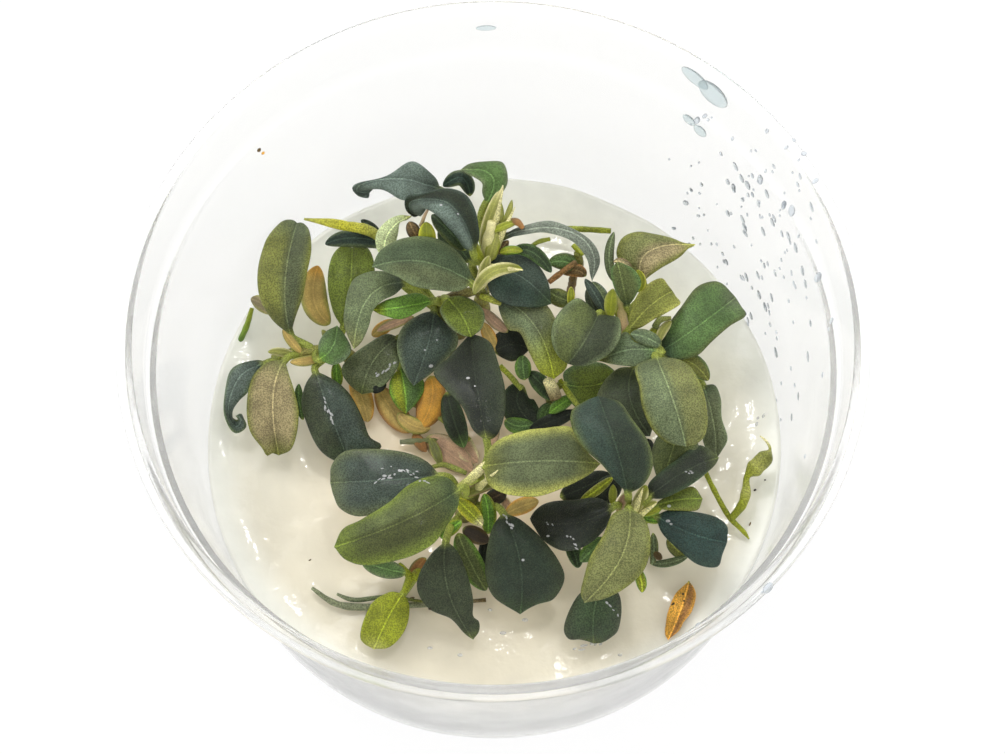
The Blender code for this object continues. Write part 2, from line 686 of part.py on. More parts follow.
def make_spear():
    """The rolled young leaf at the upper left."""
    body = swept_body(route_placer(SPEAR_ROUTE, spear_radius), SPEAR_SPANS, ROUTE_SIDES)
    return finished("spear_upper_left", body, LIME)


def make_root():
    """The root that lies on the gel in front."""
    body = swept_body(route_placer(ROOT_ROUTE, root_radius), ROOT_SPANS, ROUTE_SIDES)
    return finished("root_front", body, ROOT_GREY)


def make_shoot():
    """The pale rolled shoot at the right, with its stalk."""
    stalk = swept_body(route_placer(SHOOT_STALK, stalk_radius), SHOOT_SPANS, ROUTE_SIDES)
    shoot = finished("rolled_shoot", stalk, LIME)
    blade = swept_body(route_placer(SHOOT_BLADE, rolled_radius), SHOOT_SPANS, ROUTE_SIDES)
    joined(shoot, "rolled_blade", blade)
    return shoot


def make_fallen_leaf():
    """The shed amber leaf, flat on the gel."""
    blade = tuple(mark.place() for mark in FALLEN_LEAF)

    def place(along, across, up):
        part = blade_station(along)
        heading = bezier_heading(blade, part)
        side = heading.cross(Vector((0.0, 0.0, 1.0))).normalized()
        half_width = max(FALLEN_WIDTH * 0.5 * outline_width(OVAL, part), TIP_HALF_WIDTH)
        normal = side.cross(heading)
        return bezier(blade, part) + side * (half_width * across) + normal * (BLADE_HALF_THICKNESS * up)

    return finished("fallen_leaf", swept_body(place, BLADE_SPANS, LEAF_SIDES), AMBER)


def main():
    """Builds the cup, the gel, the plantlets and what lies on the gel."""
    for leftover in list(bpy.data.objects):
        bpy.data.objects.remove(leftover)
    stems = {stem.name: stem for stem in STEMS}
    make_cup()
    make_gel(STEMS)
    for stem in STEMS:
        make_stem(stem)
    for leaf in LEAVES:
        make_leaf(leaf, stems[leaf.stem])
    make_shoot()
    make_spear()
    make_root()
    make_fallen_leaf()


main()
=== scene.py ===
"""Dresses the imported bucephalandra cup: fine leaves, stems, gel, clear cup and its drops.

Lengths are in millimetres until a mesh is finished, which makes them metres.
X runs to the right, Y away from the viewer and Z up from the cup's underside.
In the tables, three numbers are a pixel's column and row and the height of what it shows.
"""

import json
import logging
import math
import random
from bisect import bisect_left
from collections.abc import Callable
from dataclasses import dataclass
from enum import Enum
from functools import cached_property, partial
from typing import ClassVar

import bmesh
import bpy
from mathutils import Matrix, Vector, noise
from mathutils.bvhtree import BVHTree

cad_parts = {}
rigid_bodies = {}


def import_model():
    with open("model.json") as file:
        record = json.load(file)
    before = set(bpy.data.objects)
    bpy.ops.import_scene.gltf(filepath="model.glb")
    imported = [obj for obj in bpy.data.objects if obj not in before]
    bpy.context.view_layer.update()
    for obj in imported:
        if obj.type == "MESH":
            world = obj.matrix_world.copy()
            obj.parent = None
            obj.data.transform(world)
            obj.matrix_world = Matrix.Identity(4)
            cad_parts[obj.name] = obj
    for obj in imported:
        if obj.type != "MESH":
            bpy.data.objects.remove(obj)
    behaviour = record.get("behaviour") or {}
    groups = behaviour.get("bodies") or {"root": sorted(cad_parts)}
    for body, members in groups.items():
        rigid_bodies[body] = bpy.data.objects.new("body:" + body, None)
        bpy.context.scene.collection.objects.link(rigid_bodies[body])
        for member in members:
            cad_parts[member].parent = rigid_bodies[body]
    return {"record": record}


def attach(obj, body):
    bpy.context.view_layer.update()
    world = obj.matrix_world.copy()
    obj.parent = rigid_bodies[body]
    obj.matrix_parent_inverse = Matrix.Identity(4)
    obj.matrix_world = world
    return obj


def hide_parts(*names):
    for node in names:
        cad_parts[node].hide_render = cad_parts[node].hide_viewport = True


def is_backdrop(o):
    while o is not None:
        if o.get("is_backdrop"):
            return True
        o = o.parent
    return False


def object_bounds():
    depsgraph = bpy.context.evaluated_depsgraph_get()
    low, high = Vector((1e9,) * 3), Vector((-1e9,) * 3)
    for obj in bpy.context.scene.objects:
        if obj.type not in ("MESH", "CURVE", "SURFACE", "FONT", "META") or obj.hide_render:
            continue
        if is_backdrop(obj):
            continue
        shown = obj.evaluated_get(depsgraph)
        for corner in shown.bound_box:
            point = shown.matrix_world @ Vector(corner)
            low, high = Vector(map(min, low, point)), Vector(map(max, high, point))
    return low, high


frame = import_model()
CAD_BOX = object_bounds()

logging.basicConfig(level=logging.INFO, format="%(message)s")
LOG = logging.getLogger("culture_cup")

MM = 0.001
NUDGE = 0.01
MERGE_DISTANCE = 0.0001
OVAL_FULLNESS = 0.55
SLOTS = {row["node"]: row["material_slot"] for row in frame["record"]["subparts"]}

# A pixel's column and row, with a height where it needs one.
Spot = tuple[float, ...]
# A point, its colour with a mask that is 1 on a blade, and its place on the surface.
Tinted = tuple[Vector, Vector, Vector]
# Gives such a point from a share of the length and a place on a unit circle.
Placer = Callable[[float, float, float], Tinted]


def mixed(low: float, high: float, amount: float) -> float:
    """A value between two others."""
    return low + (high - low) * amount


def smooth(low: float, high: float, value: float) -> float:
    """Rises smoothly from 0 at low to 1 at high."""
    share = min(max((value - low) / (high - low), 0.0), 1.0)
    return share * share * (3.0 - 2.0 * share)


def linear(level: float) -> float:
    """A display level of 0 to 255 as linear light."""
    share = level / 255.0
    return share / 12.92 if share <= 0.04045 else ((share + 0.055) / 1.055) ** 2.4


def opaque(colour: Vector) -> tuple[float, float, float, float]:
    """A colour with full opacity."""
    return (*colour, 1.0)


def oval_width(along: float) -> float:
    """How wide an oval blade is there, as a share of its greatest width."""
    return (4.0 * along * (1.0 - along)) ** OVAL_FULLNESS


class Tone(Enum):
    """The object's colours, as display levels."""

    PITCH = (24, 30, 20)
    INK = (40, 48, 34)
    BOTTLE = (52, 68, 42)
    SHADE = (54, 62, 42)
    SLATE = (58, 70, 60)
    PINE = (38, 50, 36)
    STEEL = (98, 112, 102)
    TEAL = (44, 60, 50)
    DEEP_TEAL = (40, 60, 54)
    SAGE = (100, 112, 78)
    GREY_OLIVE = (84, 92, 62)
    DARK_OLIVE = (63, 69, 32)
    MOSS = (84, 94, 50)
    OLIVE = (112, 116, 52)
    MEADOW = (98, 112, 40)
    STRAW = (152, 154, 76)
    PALE_OLIVE = (112, 116, 68)
    FRESH = (96, 134, 46)
    LEAF = (82, 108, 58)
    SEA = (96, 112, 80)
    LIME = (140, 148, 38)
    YELLOW = (204, 200, 60)
    CREAM = (224, 216, 160)
    ROSY = (150, 138, 100)
    UNDER = (138, 146, 100)
    PALE_UNDER = (188, 200, 148)
    DIM_SAGE = (70, 84, 58)
    PALE_STEEL = (118, 126, 112)
    AMBER = (216, 160, 64)
    TAN = (196, 168, 94)
    RUST = (160, 112, 60)
    BROWN = (108, 88, 54)
    UMBER = (58, 46, 30)
    PINK_TAN = (196, 160, 128)
    STALK = (146, 156, 70)
    ROOT = (124, 130, 100)
    GEL_FRONT = (219, 211, 189)
    # Gel tones that are whiter at the back and at the wall: painted light.
    GEL_BACKLIT = (229, 228, 215)
    GEL_WALL_LIT = (238, 238, 228)
    GEL_WARM = (232, 210, 172)

    @cached_property
    def light(self) -> Vector:
        """The tone as linear light."""
        return Vector(linear(level) for level in self.value)


@dataclass(frozen=True)
class View:
    """The picture's viewpoint. The picture is 1005 by 754 pixels."""

    columns: float = 1005.0
    centre: tuple[float, float] = (502.5, 377.0)
    focal: float = 2233.0
    elevation: float = math.radians(69.0)
    azimuth: float = math.radians(-2.0)
    distance: float = 271.7
    shift: tuple[float, float] = (1.12, -2.43)
    aim_height: float = 42.0
    sensor: float = 36.0

    @cached_property
    def back(self) -> Vector:
        """The direction from the cup to the viewer.

        Returns:
            A unit vector.
        """
        level = math.cos(self.elevation)
        across, away = math.sin(self.azimuth) * level, -math.cos(self.azimuth) * level
        return Vector((across, away, math.sin(self.elevation)))

    @cached_property
    def right(self) -> Vector:
        """The picture's right."""
        return Vector((math.cos(self.azimuth), math.sin(self.azimuth), 0.0))

    @cached_property
    def up(self) -> Vector:
        """The picture's up."""
        return self.back.cross(self.right)

    @cached_property
    def eye(self) -> Vector:
        """Where the viewer's eye is."""
        aim = Vector((0.0, 0.0, self.aim_height))
        return aim + self.right * self.shift[0] + self.up * self.shift[1] + self.back * self.distance

    def place(self, column: float, row: float, height: float) -> Vector:
        """The point at a height behind a pixel.

        Args:
            column: Pixels from the picture's left.
            row: Pixels from the picture's top.
            height: Millimetres above the cup's underside.

        Returns:
            The point in millimetres.
        """
        across = self.right * (column - self.centre[0])
        ray = across + self.up * (self.centre[1] - row) - self.back * self.focal
        return self.eye + ray * ((height - self.eye.z) / ray.z)


VIEW = View()


def bezier(points: tuple[Vector, ...], along: float) -> Vector:
    """A point on the curve that passes through three points, the second one half way.

    Args:
        points: The three points.
        along: From 0 at the first point to 1 at the last one.

    Returns:
        The point.
    """
    first, middle, last = points
    handle = middle * 2.0 - (first + last) * 0.5
    rest = 1.0 - along
    return first * rest * rest + handle * (2.0 * rest * along) + last * (along * along)


def cubic(points: tuple[Vector, ...], along: float) -> Vector:
    """A point on a cubic Bezier curve.

    Args:
        points: The four control points.
        along: From 0 at the first point to 1 at the last one.

    Returns:
        The point.
    """
    rest = 1.0 - along
    weights = (rest ** 3, 3.0 * rest * rest * along, 3.0 * rest * along * along, along ** 3)
    return sum((point * weight for point, weight in zip(points, weights)), Vector((0.0, 0.0, 0.0)))


def smooth_route(points: tuple[Vector, ...], along: float) -> Vector:
    """A point on the smooth curve through a list of points.

    Args:
        points: The points, two or more.
        along: From 0 at the first point to 1 at the last one.

    Returns:
        The point.
    """
    spans = len(points) - 1
    span = min(int(along * spans), spans - 1)
    start, end = points[span], points[span + 1]
    before, after = points[max(span - 1, 0)], points[min(span + 2, spans)]
    leave = (end - before) * 0.5
    arrive = (after - start) * 0.5
    return cubic((start, start + leave / 3.0, end - arrive / 3.0, end), along * spans - span)


def route_point(points: tuple[Vector, ...], along: float) -> Vector:
    """A point on a route: a plain arc through three points, or a smooth curve through more.

    Args:
        points: The route's points.
        along: From 0 at the first point to 1 at the last one.

    Returns:
        The point.
    """
    if len(points) == 3:
        return bezier(points, along)
    return smooth_route(points, min(max(along, 0.0), 1.0))


def facing_out(body: bmesh.types.BMesh) -> bmesh.types.BMesh:
    """Turns a closed body's faces outwards.

    Args:
        body: The body, whose faces all point the same way.

    Returns:
        The same body.
    """
    if body.calc_volume(signed=True) < 0.0:
        bmesh.ops.reverse_faces(body, faces=body.faces)
    return body


def swept_body(place: Placer, spans: int, sides: int) -> bmesh.types.BMesh:
    """A closed body: a unit cylinder whose points are placed and tinted.

    Args:
        place: Gives a point, its tint and its place on the surface from along, across and up.
        spans: Rings of faces along the body.
        sides: Faces around it.

    Returns:
        The body, in millimetres, with its tint and span painted on the vertices.
    """
    body = bmesh.new()
    bmesh.ops.create_cone(
        body, cap_ends=True, segments=sides, radius1=1.0, radius2=1.0, depth=1.0
    )
    long_edges = [edge for edge in body.edges if abs(edge.verts[0].co.z - edge.verts[1].co.z) > 0.5]
    bmesh.ops.subdivide_edges(body, edges=long_edges, cuts=spans - 1, use_grid_fill=True)
    tint = body.verts.layers.float_color.new("tint")
    span = body.verts.layers.float_vector.new("span")
    for vert in body.verts:
        vert.co, vert[tint], vert[span] = place(vert.co.z + 0.5, vert.co.x, vert.co.y)
    return facing_out(body)


def turned_body(corners: list[tuple[float, float, float]], segments: int) -> bmesh.types.BMesh:
    """A solid of revolution about Z, in millimetres.

    Args:
        corners: The profile's corners, from the axis to the axis: radius, height and rounding.
        segments: Faces around it.

    Returns:
        The body, with its round corners bevelled.
    """
    body = bmesh.new()
    verts = [body.verts.new((radius, 0.0, height)) for radius, height, _ in corners]
    for pair in zip(verts, verts[1:]):
        body.edges.new(pair)
    for vert, corner in zip(verts, corners):
        if corner[2]:
            bmesh.ops.bevel(
                body, geom=[vert], offset=corner[2], segments=5, profile=0.5,
                affect="VERTICES", material=-1,
            )
    bmesh.ops.spin(
        body, geom=body.verts[:] + body.edges[:], cent=(0, 0, 0), axis=(0, 0, 1), dvec=(0, 0, 0),
        angle=math.tau, steps=segments, use_merge=True,
    )
    bmesh.ops.remove_doubles(body, verts=body.verts, dist=MERGE_DISTANCE)
    return body


def joined(bodies: list[bmesh.types.BMesh]) -> bmesh.types.BMesh:
    """Several bodies as one.

    Args:
        bodies: The bodies; all but the first are freed.

    Returns:
        The first body, with the others added.
    """
    whole = bodies[0]
    for body in bodies[1:]:
        mesh = bpy.data.meshes.new("part")
        body.to_mesh(mesh)
        body.free()
        whole.from_mesh(mesh)
        bpy.data.meshes.remove(mesh)
    return whole


def linked(name: str, body: bmesh.types.BMesh, material: bpy.types.Material) -> bpy.types.Object:
    """Turns a body in millimetres into an object in metres.

    Args:
        name: The object's name.
        body: The body, which is freed.
        material: Its finish.

    Returns:
        The object, in the scene.
    """
    bmesh.ops.transform(body, matrix=Matrix.Scale(MM, 4), verts=body.verts)
    mesh = bpy.data.meshes.new(name)
    body.to_mesh(mesh)
    body.free()
    mesh.materials.append(material)
    piece = bpy.data.objects.new(name, mesh)
    bpy.context.collection.objects.link(piece)
    return piece


def finished(name: str, body: bmesh.types.BMesh, material: bpy.types.Material, slot: str,
             *nodes: str) -> bpy.types.Object:
    """Turns a body in millimetres into a dressed piece in metres.

    Args:
        name: The piece's name.
        body: The body, which is freed.
        material: Its finish.
        slot: The record's material slot; not used.
        nodes: The CAD nodes that it stands for.

    Returns:
        The piece.
    """
    piece = linked(name, body, material)
    piece.data.shade_smooth()
    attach(piece, "root")
    if nodes:
        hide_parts(*nodes)
    return piece


class Recipe:
    """A material that is being put together from nodes."""

    def __init__(self, name: str) -> None:
        """Starts with one Principled shader.

        Args:
            name: The material's name.
        """
        self.material = bpy.data.materials.new(name)
        self.material.use_nodes = True
        self.tree = self.material.node_tree
        self.shader = self.tree.nodes["Principled BSDF"]

    def feed(self, socket: bpy.types.NodeSocket, value: object) -> None:
        """Links a socket to another, or sets its value.

        Args:
            socket: The input.
            value: The output that feeds it, or a plain value.
        """
        if isinstance(value, bpy.types.NodeSocket):
            self.tree.links.new(value, socket)
        else:
            socket.default_value = value

    def surface(self, **values: object) -> None:
        """Sets the shader's sockets, named with underscores for spaces."""
        for name, value in values.items():
            self.feed(self.shader.inputs[name.replace("_", " ")], value)

    def node(self, kind: str, inputs: dict[object, object], **settings: object) -> bpy.types.Node:
        """Adds a node.

        Args:
            kind: The node's type.
            inputs: Values or sockets, by the name or number of the input.
            settings: The node's own properties.

        Returns:
            The node.
        """
        made = self.tree.nodes.new(kind)
        for name, value in settings.items():
            setattr(made, name, value)
        for key, value in inputs.items():
            self.feed(made.inputs[key], value)
        return made

    @cached_property
    def place(self) -> bpy.types.NodeSocket:
        """The object's own coordinates, in metres."""
        return self.node("ShaderNodeTexCoord", {}).outputs["Object"]

    def parts(self, vector: object) -> bpy.types.NodeOutputs:
        """A vector's three numbers."""
        return self.node("ShaderNodeSeparateXYZ", {0: vector}).outputs

    def attribute(self, name: str) -> bpy.types.Node:
        """A painted attribute of the mesh."""
        return self.node("ShaderNodeAttribute", {}, attribute_name=name)

    def arithmetic(self, operation: str, *values: object) -> bpy.types.NodeSocket:
        """One step of arithmetic."""
        return self.node("ShaderNodeMath", dict(enumerate(values)), operation=operation).outputs[0]

    def times(self, first: object, second: object) -> bpy.types.NodeSocket:
        """Two values multiplied."""
        return self.arithmetic("MULTIPLY", first, second)

    def ramp(self, value: object, low: float, high: float, start: float = 0.0,
             end: float = 1.0) -> bpy.types.NodeSocket:
        """Maps a value smoothly from one range to another."""
        inputs = {"Value": value, "From Min": low, "From Max": high, "To Min": start, "To Max": end}
        return self.node("ShaderNodeMapRange", inputs, interpolation_type="SMOOTHSTEP").outputs[0]

    def noise(self, scale: float, detail: float = 2.0) -> bpy.types.NodeSocket:
        """Soft noise of about 0 to 1; the scale is in features a metre."""
        inputs = {"Vector": self.place, "Scale": scale, "Detail": detail}
        return self.node("ShaderNodeTexNoise", inputs).outputs["Fac"]

    def cells(self, scale: float) -> bpy.types.NodeSocket:
        """The distance to the nearest of scattered points."""
        inputs = {"Vector": self.place, "Scale": scale}
        return self.node("ShaderNodeTexVoronoi", inputs).outputs["Distance"]

    def blend(self, factor: object, first: object, second: object,
              mode: str = "MIX") -> bpy.types.NodeSocket:
        """A blend of two colours.

        Args:
            factor: The second colour's share.
            first: The first colour.
            second: The second colour.
            mode: How they mix.

        Returns:
            The blended colour.
        """
        made = self.node("ShaderNodeMix", {}, data_type="RGBA", blend_type=mode)
        self.feed(made.inputs["Factor"], factor)
        self.feed(made.inputs[6], first)
        self.feed(made.inputs[7], second)
        return made.outputs[2]

    def scaled(self, colour: object, share: object) -> bpy.types.NodeSocket:
        """A colour made lighter or darker."""
        inputs = {0: colour, "Scale": share}
        return self.node("ShaderNodeVectorMath", inputs, operation="SCALE").outputs[0]

    def shaded(self, mask: object, strength: float, colour: object, gain: float) -> bpy.types.NodeSocket:
        """A colour made lighter or darker where a mask is."""
        return self.blend(self.times(mask, strength), colour, self.scaled(colour, gain))

    def bump(self, height: object, distance: float) -> bpy.types.NodeSocket:
        """Relief from a height of 0 to 1 that stands for a distance in millimetres."""
        inputs = {"Height": height, "Distance": distance * MM, "Strength": 1.0}
        return self.node("ShaderNodeBump", inputs).outputs[0]


@dataclass(frozen=True)
class LeafFinish:
    """A leaf's surface: fine pale speckle, partly painted glitter, midrib, side veins, gloss and water on
    it.
    """

    name: str
    speckle: float
    roughness: float
    wet: float = 0.0
    rib_gain: float = 2.1
    shine: float = 0.3
    grain_scale: float = 5600.0
    cell_scale: float = 4600.0
    blotch_scale: float = 380.0
    pool_scale: float = 240.0
    ripple_scale: float = 800.0
    vein_spacing: float = 0.95
    vein_slant: float = 1.3
    vein_wander: float = 1.2
    wander_scale: float = 700.0
    rib_width: float = 0.15
    hollow_width: float = 0.7
    edge_start: float = 0.86
    relief: float = 0.035
    ripple_relief: float = 0.16

    def veins(self, recipe: Recipe, along: object, off_rib: object) -> bpy.types.NodeSocket:
        """The side veins, which slant towards the tip.

        Args:
            recipe: The material.
            along: The distance along the midrib.
            off_rib: The distance from it.

        Returns:
            A mask that is 1 on the veins.
        """
        rise = recipe.arithmetic("SUBTRACT", along, recipe.times(off_rib, self.vein_slant))
        wander = recipe.times(recipe.noise(self.wander_scale), self.vein_wander)
        turns = recipe.times(recipe.arithmetic("ADD", rise, wander), math.tau / self.vein_spacing)
        return recipe.ramp(recipe.arithmetic("SINE", turns), 0.7, 1.0)

    def water(self, recipe: Recipe) -> None:
        """Adds the thin uneven water on a wet leaf.

        Args:
            recipe: The material.
        """
        pools = recipe.ramp(recipe.noise(self.pool_scale, 1.0), 0.42, 0.58, 0.1, self.wet)
        ripples = recipe.bump(recipe.noise(self.ripple_scale, 3.0), self.ripple_relief)
        recipe.surface(Coat_Weight=pools, Coat_Roughness=0.06, Coat_IOR=1.33, Coat_Normal=ripples)

    def make(self) -> bpy.types.Material:
        """Builds the material.

        Returns:
            The material.
        """
        recipe = Recipe(self.name)
        tint = recipe.attribute("tint")
        across, along, edge = recipe.parts(recipe.attribute("span").outputs["Vector"])
        off_rib = recipe.arithmetic("ABSOLUTE", across)
        blade = tint.outputs["Alpha"]
        rib = recipe.times(recipe.ramp(off_rib, self.rib_width, 0.03), blade)
        # Darker in the valleys beside the midrib: painted shade.
        hollow = recipe.times(recipe.ramp(off_rib, self.hollow_width, 0.2), blade)
        veins = recipe.times(self.veins(recipe, along, off_rib), blade)
        # Lighter towards the thin margins: a painted glow of light through the blade.
        thin = recipe.times(recipe.ramp(edge, self.edge_start, 1.0), blade)
        grain = recipe.ramp(recipe.noise(self.grain_scale, 3.0), 0.36, 0.64)
        cells = recipe.cells(self.cell_scale)
        blotch = recipe.ramp(recipe.noise(self.blotch_scale, 4.0), 0.3, 0.7, 0.78, 1.18)
        freckle = recipe.ramp(grain, 0.0, 1.0, 1.0 - self.speckle, 1.0 + self.speckle)
        # Pale dots: partly the leaf's pale speckle, partly painted glitter of light on its cells.
        pale = recipe.times(recipe.ramp(cells, 0.3, 0.1), self.speckle * 0.75)
        colour = recipe.scaled(recipe.scaled(tint.outputs["Color"], blotch), freckle)
        colour = recipe.blend(pale, colour, opaque(Tone.PALE_OLIVE.light), "SCREEN")
        colour = recipe.shaded(veins, 0.2, colour, 0.6)
        # Painted shade in the valleys beside the midrib.
        colour = recipe.shaded(hollow, 0.45, colour, 0.62)
        colour = recipe.shaded(rib, 1.0, colour, self.rib_gain)
        # Painted glow at the thin margins.
        colour = recipe.shaded(thin, 0.4, colour, 1.4)
        relief = recipe.arithmetic("ADD", grain, cells)
        relief = recipe.arithmetic("SUBTRACT", relief, recipe.times(veins, 0.25))
        recipe.surface(
            Base_Color=colour, IOR=1.4, Specular_IOR_Level=self.shine,
            Roughness=recipe.ramp(grain, 0.0, 1.0, self.roughness, self.roughness + 0.12),
            Normal=recipe.bump(relief, self.relief),
        )
        if self.wet:
            self.water(recipe)
        return recipe.material


@dataclass(frozen=True)
class ClearFinish:
    """Clear plastic or water, with a little haze."""

    name: str
    colour: tuple[float, float, float]
    bend: float
    roughness: float
    clearness: float
    haze_scale: float = 90.0

    def make(self) -> bpy.types.Material:
        """Builds the material.

        Returns:
            The material.
        """
        recipe = Recipe(self.name)
        haze = recipe.noise(self.haze_scale, 3.0)
        recipe.surface(
            Base_Color=(*self.colour, 1.0), IOR=self.bend, Transmission_Weight=self.clearness,
            Roughness=recipe.ramp(haze, 0.3, 0.7, self.roughness, self.roughness * 2.0),
        )
        return recipe.material


class Finish(Enum):
    """A choice of finishes, each of which is made once."""

    @cached_property
    def material(self) -> bpy.types.Material:
        """The finish's material."""
        return self.value.make()


class Sheen(Finish):
    """How a leaf's surface shines."""

    DRY = LeafFinish("leaf_dry", 0.3, 0.5)
    SATIN = LeafFinish("leaf_satin", 0.33, 0.42, 0.12)
    WET = LeafFinish("leaf_wet", 0.38, 0.36, 0.4)
    TENDER = LeafFinish("leaf_tender", 0.1, 0.4, 0.25, 1.3, 0.4)


class Clear(Finish):
    """What is see-through."""

    PLASTIC = ClearFinish("clear_plastic", (0.985, 0.985, 0.975), 1.12, 0.1, 0.9)
    # Water whose white, partly diffuse share paints the glints on the leaves and the gel.
    WATER_WITH_GLINTS = ClearFinish("water", (1.0, 1.0, 1.0), 1.33, 0.03, 0.62)
    MIST = ClearFinish("mist_drops", (0.78, 0.82, 0.86), 1.33, 0.05, 0.8)
    # Smears tinted bluish grey: painted reflections on the lip.
    REFLECTION_SMEAR = ClearFinish("lip_reflection_smear", (0.82, 0.9, 0.92), 1.2, 0.12, 0.8)


@dataclass(frozen=True)
class Look:
    """A leaf's colours: its heart, margins, tip, base, halves, underside and stalk."""

    heart: Tone
    margin: Tone
    tip: Tone | None = None
    base: Tone | None = None
    left: Tone | None = None
    right: Tone | None = None
    under: Tone = Tone.UNDER
    stalk: Tone = Tone.STALK
    margin_start: float = 0.6
    tip_start: float = 0.7

    half_blend: ClassVar[tuple[float, float]] = (-0.1, 0.35)
    stalk_blend: ClassVar[tuple[float, float]] = (-0.02, 0.1)
    base_end: ClassVar[float] = 0.3
    under_share: ClassVar[float] = 0.7

    def tint(self, along: float, across: float, top: bool) -> Vector:
        """The colour at a place on the blade.

        Args:
            along: From 0 at the blade's base to 1 at its tip; negative on the stalk.
            across: From -1 at the left margin to 1 at the right one.
            top: Whether it is on the upper side.

        Returns:
            The colour as linear light, with the blade's mask as its fourth number.
        """
        colour = self.heart.light
        for side, tone in ((-across, self.left), (across, self.right)):
            if tone:
                colour = colour.lerp(tone.light, smooth(*self.half_blend, side))
        colour = colour.lerp(self.margin.light, smooth(self.margin_start, 1.0, abs(across)))
        if self.tip:
            colour = colour.lerp(self.tip.light, smooth(self.tip_start, 1.0, along))
        if self.base:
            colour = colour.lerp(self.base.light, smooth(self.base_end, 0.0, along))
        if not top:
            colour = colour.lerp(self.under.light, self.under_share)
        blade = smooth(*self.stalk_blend, along)
        return Vector((*self.stalk.light.lerp(colour, blade), blade))


@dataclass(frozen=True)
class Bract:
    """A pointed sheath that grows out of a stem."""

    joint: float
    tip: Spot
    half_width: float = 0.7
    base_tone: Tone = Tone.STRAW
    tip_tone: Tone = Tone.CREAM

    tip_half_width: ClassVar[float] = 0.05
    bow: ClassVar[float] = 0.8
    hollow: ClassVar[float] = 0.35
    spans: ClassVar[int] = 18
    sides: ClassVar[int] = 16

    def place(self, root: Vector, along: float, across: float, up: float) -> Tinted:
        """A point of the surface.

        Args:
            root: The point on the stem's axis that it grows from.
            along: The share of its length.
            across: From -1 at one margin to 1 at the other.
            up: From -1 under it to 1 on top.

        Returns:
            The tinted point.
        """
        tip = VIEW.place(*self.tip)
        heading = (tip - root).normalized()
        side = heading.cross(VIEW.back).normalized()
        normal = side.cross(heading)
        half_width = mixed(self.half_width, self.tip_half_width, along ** 1.5)
        centre = root.lerp(tip, along) + normal * (self.bow * math.sin(math.pi * along))
        hollow = self.hollow * half_width * across * across
        point = centre + side * (half_width * across)
        point += normal * (half_width * mixed(0.5, 0.25, along) * up - hollow)
        colour = self.base_tone.light.lerp(self.tip_tone.light, along)
        return point, Vector((*colour, 0.0)), Vector((half_width * across, along * 8.0, 0.5))

    def body(self, root: Vector) -> bmesh.types.BMesh:
        """The bract's closed body, which grows from a point in its stem."""
        return swept_body(partial(self.place, root), self.spans, self.sides)


@dataclass(frozen=True)
class Stem:
    """A short stem: its foot stands in the gel and its crown carries leaves and bracts."""

    name: str
    foot: Spot
    bend: Spot
    crown: Spot
    radius: float = 1.1
    tone: Tone = Tone.OLIVE
    bracts: tuple[Bract, ...] = ()

    taper: ClassVar[float] = 0.25
    joint_count: ClassVar[int] = 7
    joint_swell: ClassVar[float] = 0.1
    rough_scale: ClassVar[float] = 0.9
    rough_height: ClassVar[float] = 0.12
    spans: ClassVar[int] = 40
    sides: ClassVar[int] = 20

    @cached_property
    def points(self) -> tuple[Vector, ...]:
        """The points of the axis."""
        return tuple(VIEW.place(*spot) for spot in (self.foot, self.bend, self.crown))

    def axis(self, along: float) -> Vector:
        """The point on the axis, from 0 at the foot to 1 at the crown."""
        return bezier(self.points, along)

    def heading(self, along: float) -> Vector:
        """The direction of growth there."""
        return (self.axis(along + NUDGE) - self.axis(along - NUDGE)).normalized()

    def thickness(self, along: float) -> float:
        """The radius there: a little slimmer towards the crown."""
        return self.radius * (1.0 - self.taper * along)

    def place(self, along: float, across: float, up: float) -> Tinted:
        """A point of the surface, with the swollen scars of old leaves.

        Args:
            along: From 0 at the foot to 1 at the crown.
            across: From -1 at the left to 1 at the right.
            up: From -1 at the front to 1 at the back.

        Returns:
            The tinted point.
        """
        heading = self.heading(along)
        side = heading.cross(Vector((0.0, 1.0, 0.0))).normalized()
        out = side * across + side.cross(heading) * up
        bud = min(1.0, (1.0 - along) * 5.0 + 0.35)
        scar = abs(math.sin(math.pi * self.joint_count * along)) ** 6
        radius = self.thickness(along) * bud * (1.0 + self.joint_swell * scar)
        point = self.axis(along) + out * radius
        point += out * (noise.noise(point * self.rough_scale) * self.rough_height)
        colour = self.tone.light.lerp(Tone.BROWN.light, 0.55 * scar + 0.4 * smooth(0.5, 0.0, along))
        return point, Vector((*colour, 0.0)), Vector((across, along * 10.0, 0.5))

    def make(self) -> bpy.types.Object:
        """The dressed stem with its bracts, in place of its CAD solid.

        Returns:
            The piece.
        """
        bracts = [bract.body(self.axis(bract.joint)) for bract in self.bracts]
        body = joined([swept_body(self.place, self.spans, self.sides), *bracts])
        return finished(f"{self.name}_fine", body, Sheen.SATIN.material, "stem", self.name)


@dataclass(frozen=True)
class Route:
    """A smooth curve through points, walked at an even pace."""

    points: tuple[Vector, ...]
    paces: int = 200

    @cached_property
    def walk(self) -> list[tuple[float, Vector]]:
        """The walk along the curve.

        Returns:
            Points of the curve, each with the distance walked so far.
        """
        walked = 0.0
        before = route_point(self.points, 0.0)
        steps = [(0.0, before)]
        for pace in range(1, self.paces + 1):
            after = route_point(self.points, pace / self.paces)
            walked += (after - before).length
            steps.append((walked, after))
            before = after
        return steps

    def at(self, share: float) -> Vector:
        """The point at a share of the whole distance.

        Args:
            share: From 0 at the start to 1 at the end.

        Returns:
            The point.
        """
        goal = min(max(share, 0.0), 1.0) * self.walk[-1][0]
        number = min(max(bisect_left(self.walk, goal, key=lambda step: step[0]), 1), self.paces)
        (low, before), (high, after) = self.walk[number - 1], self.walk[number]
        return before.lerp(after, (goal - low) / max(high - low, 1e-9))


@dataclass(frozen=True)
class Wave:
    """How a blade's margins roll up and down."""

    height: float = 0.05
    count: float = 2.0


@dataclass(frozen=True)
class Ring:
    """One ring of a leaf: its centre, the ways to its two margins, and how it faces."""

    centre: Vector
    left: Vector
    right: Vector
    normal: Vector
    half_thickness: float
    along: float
    distance: float


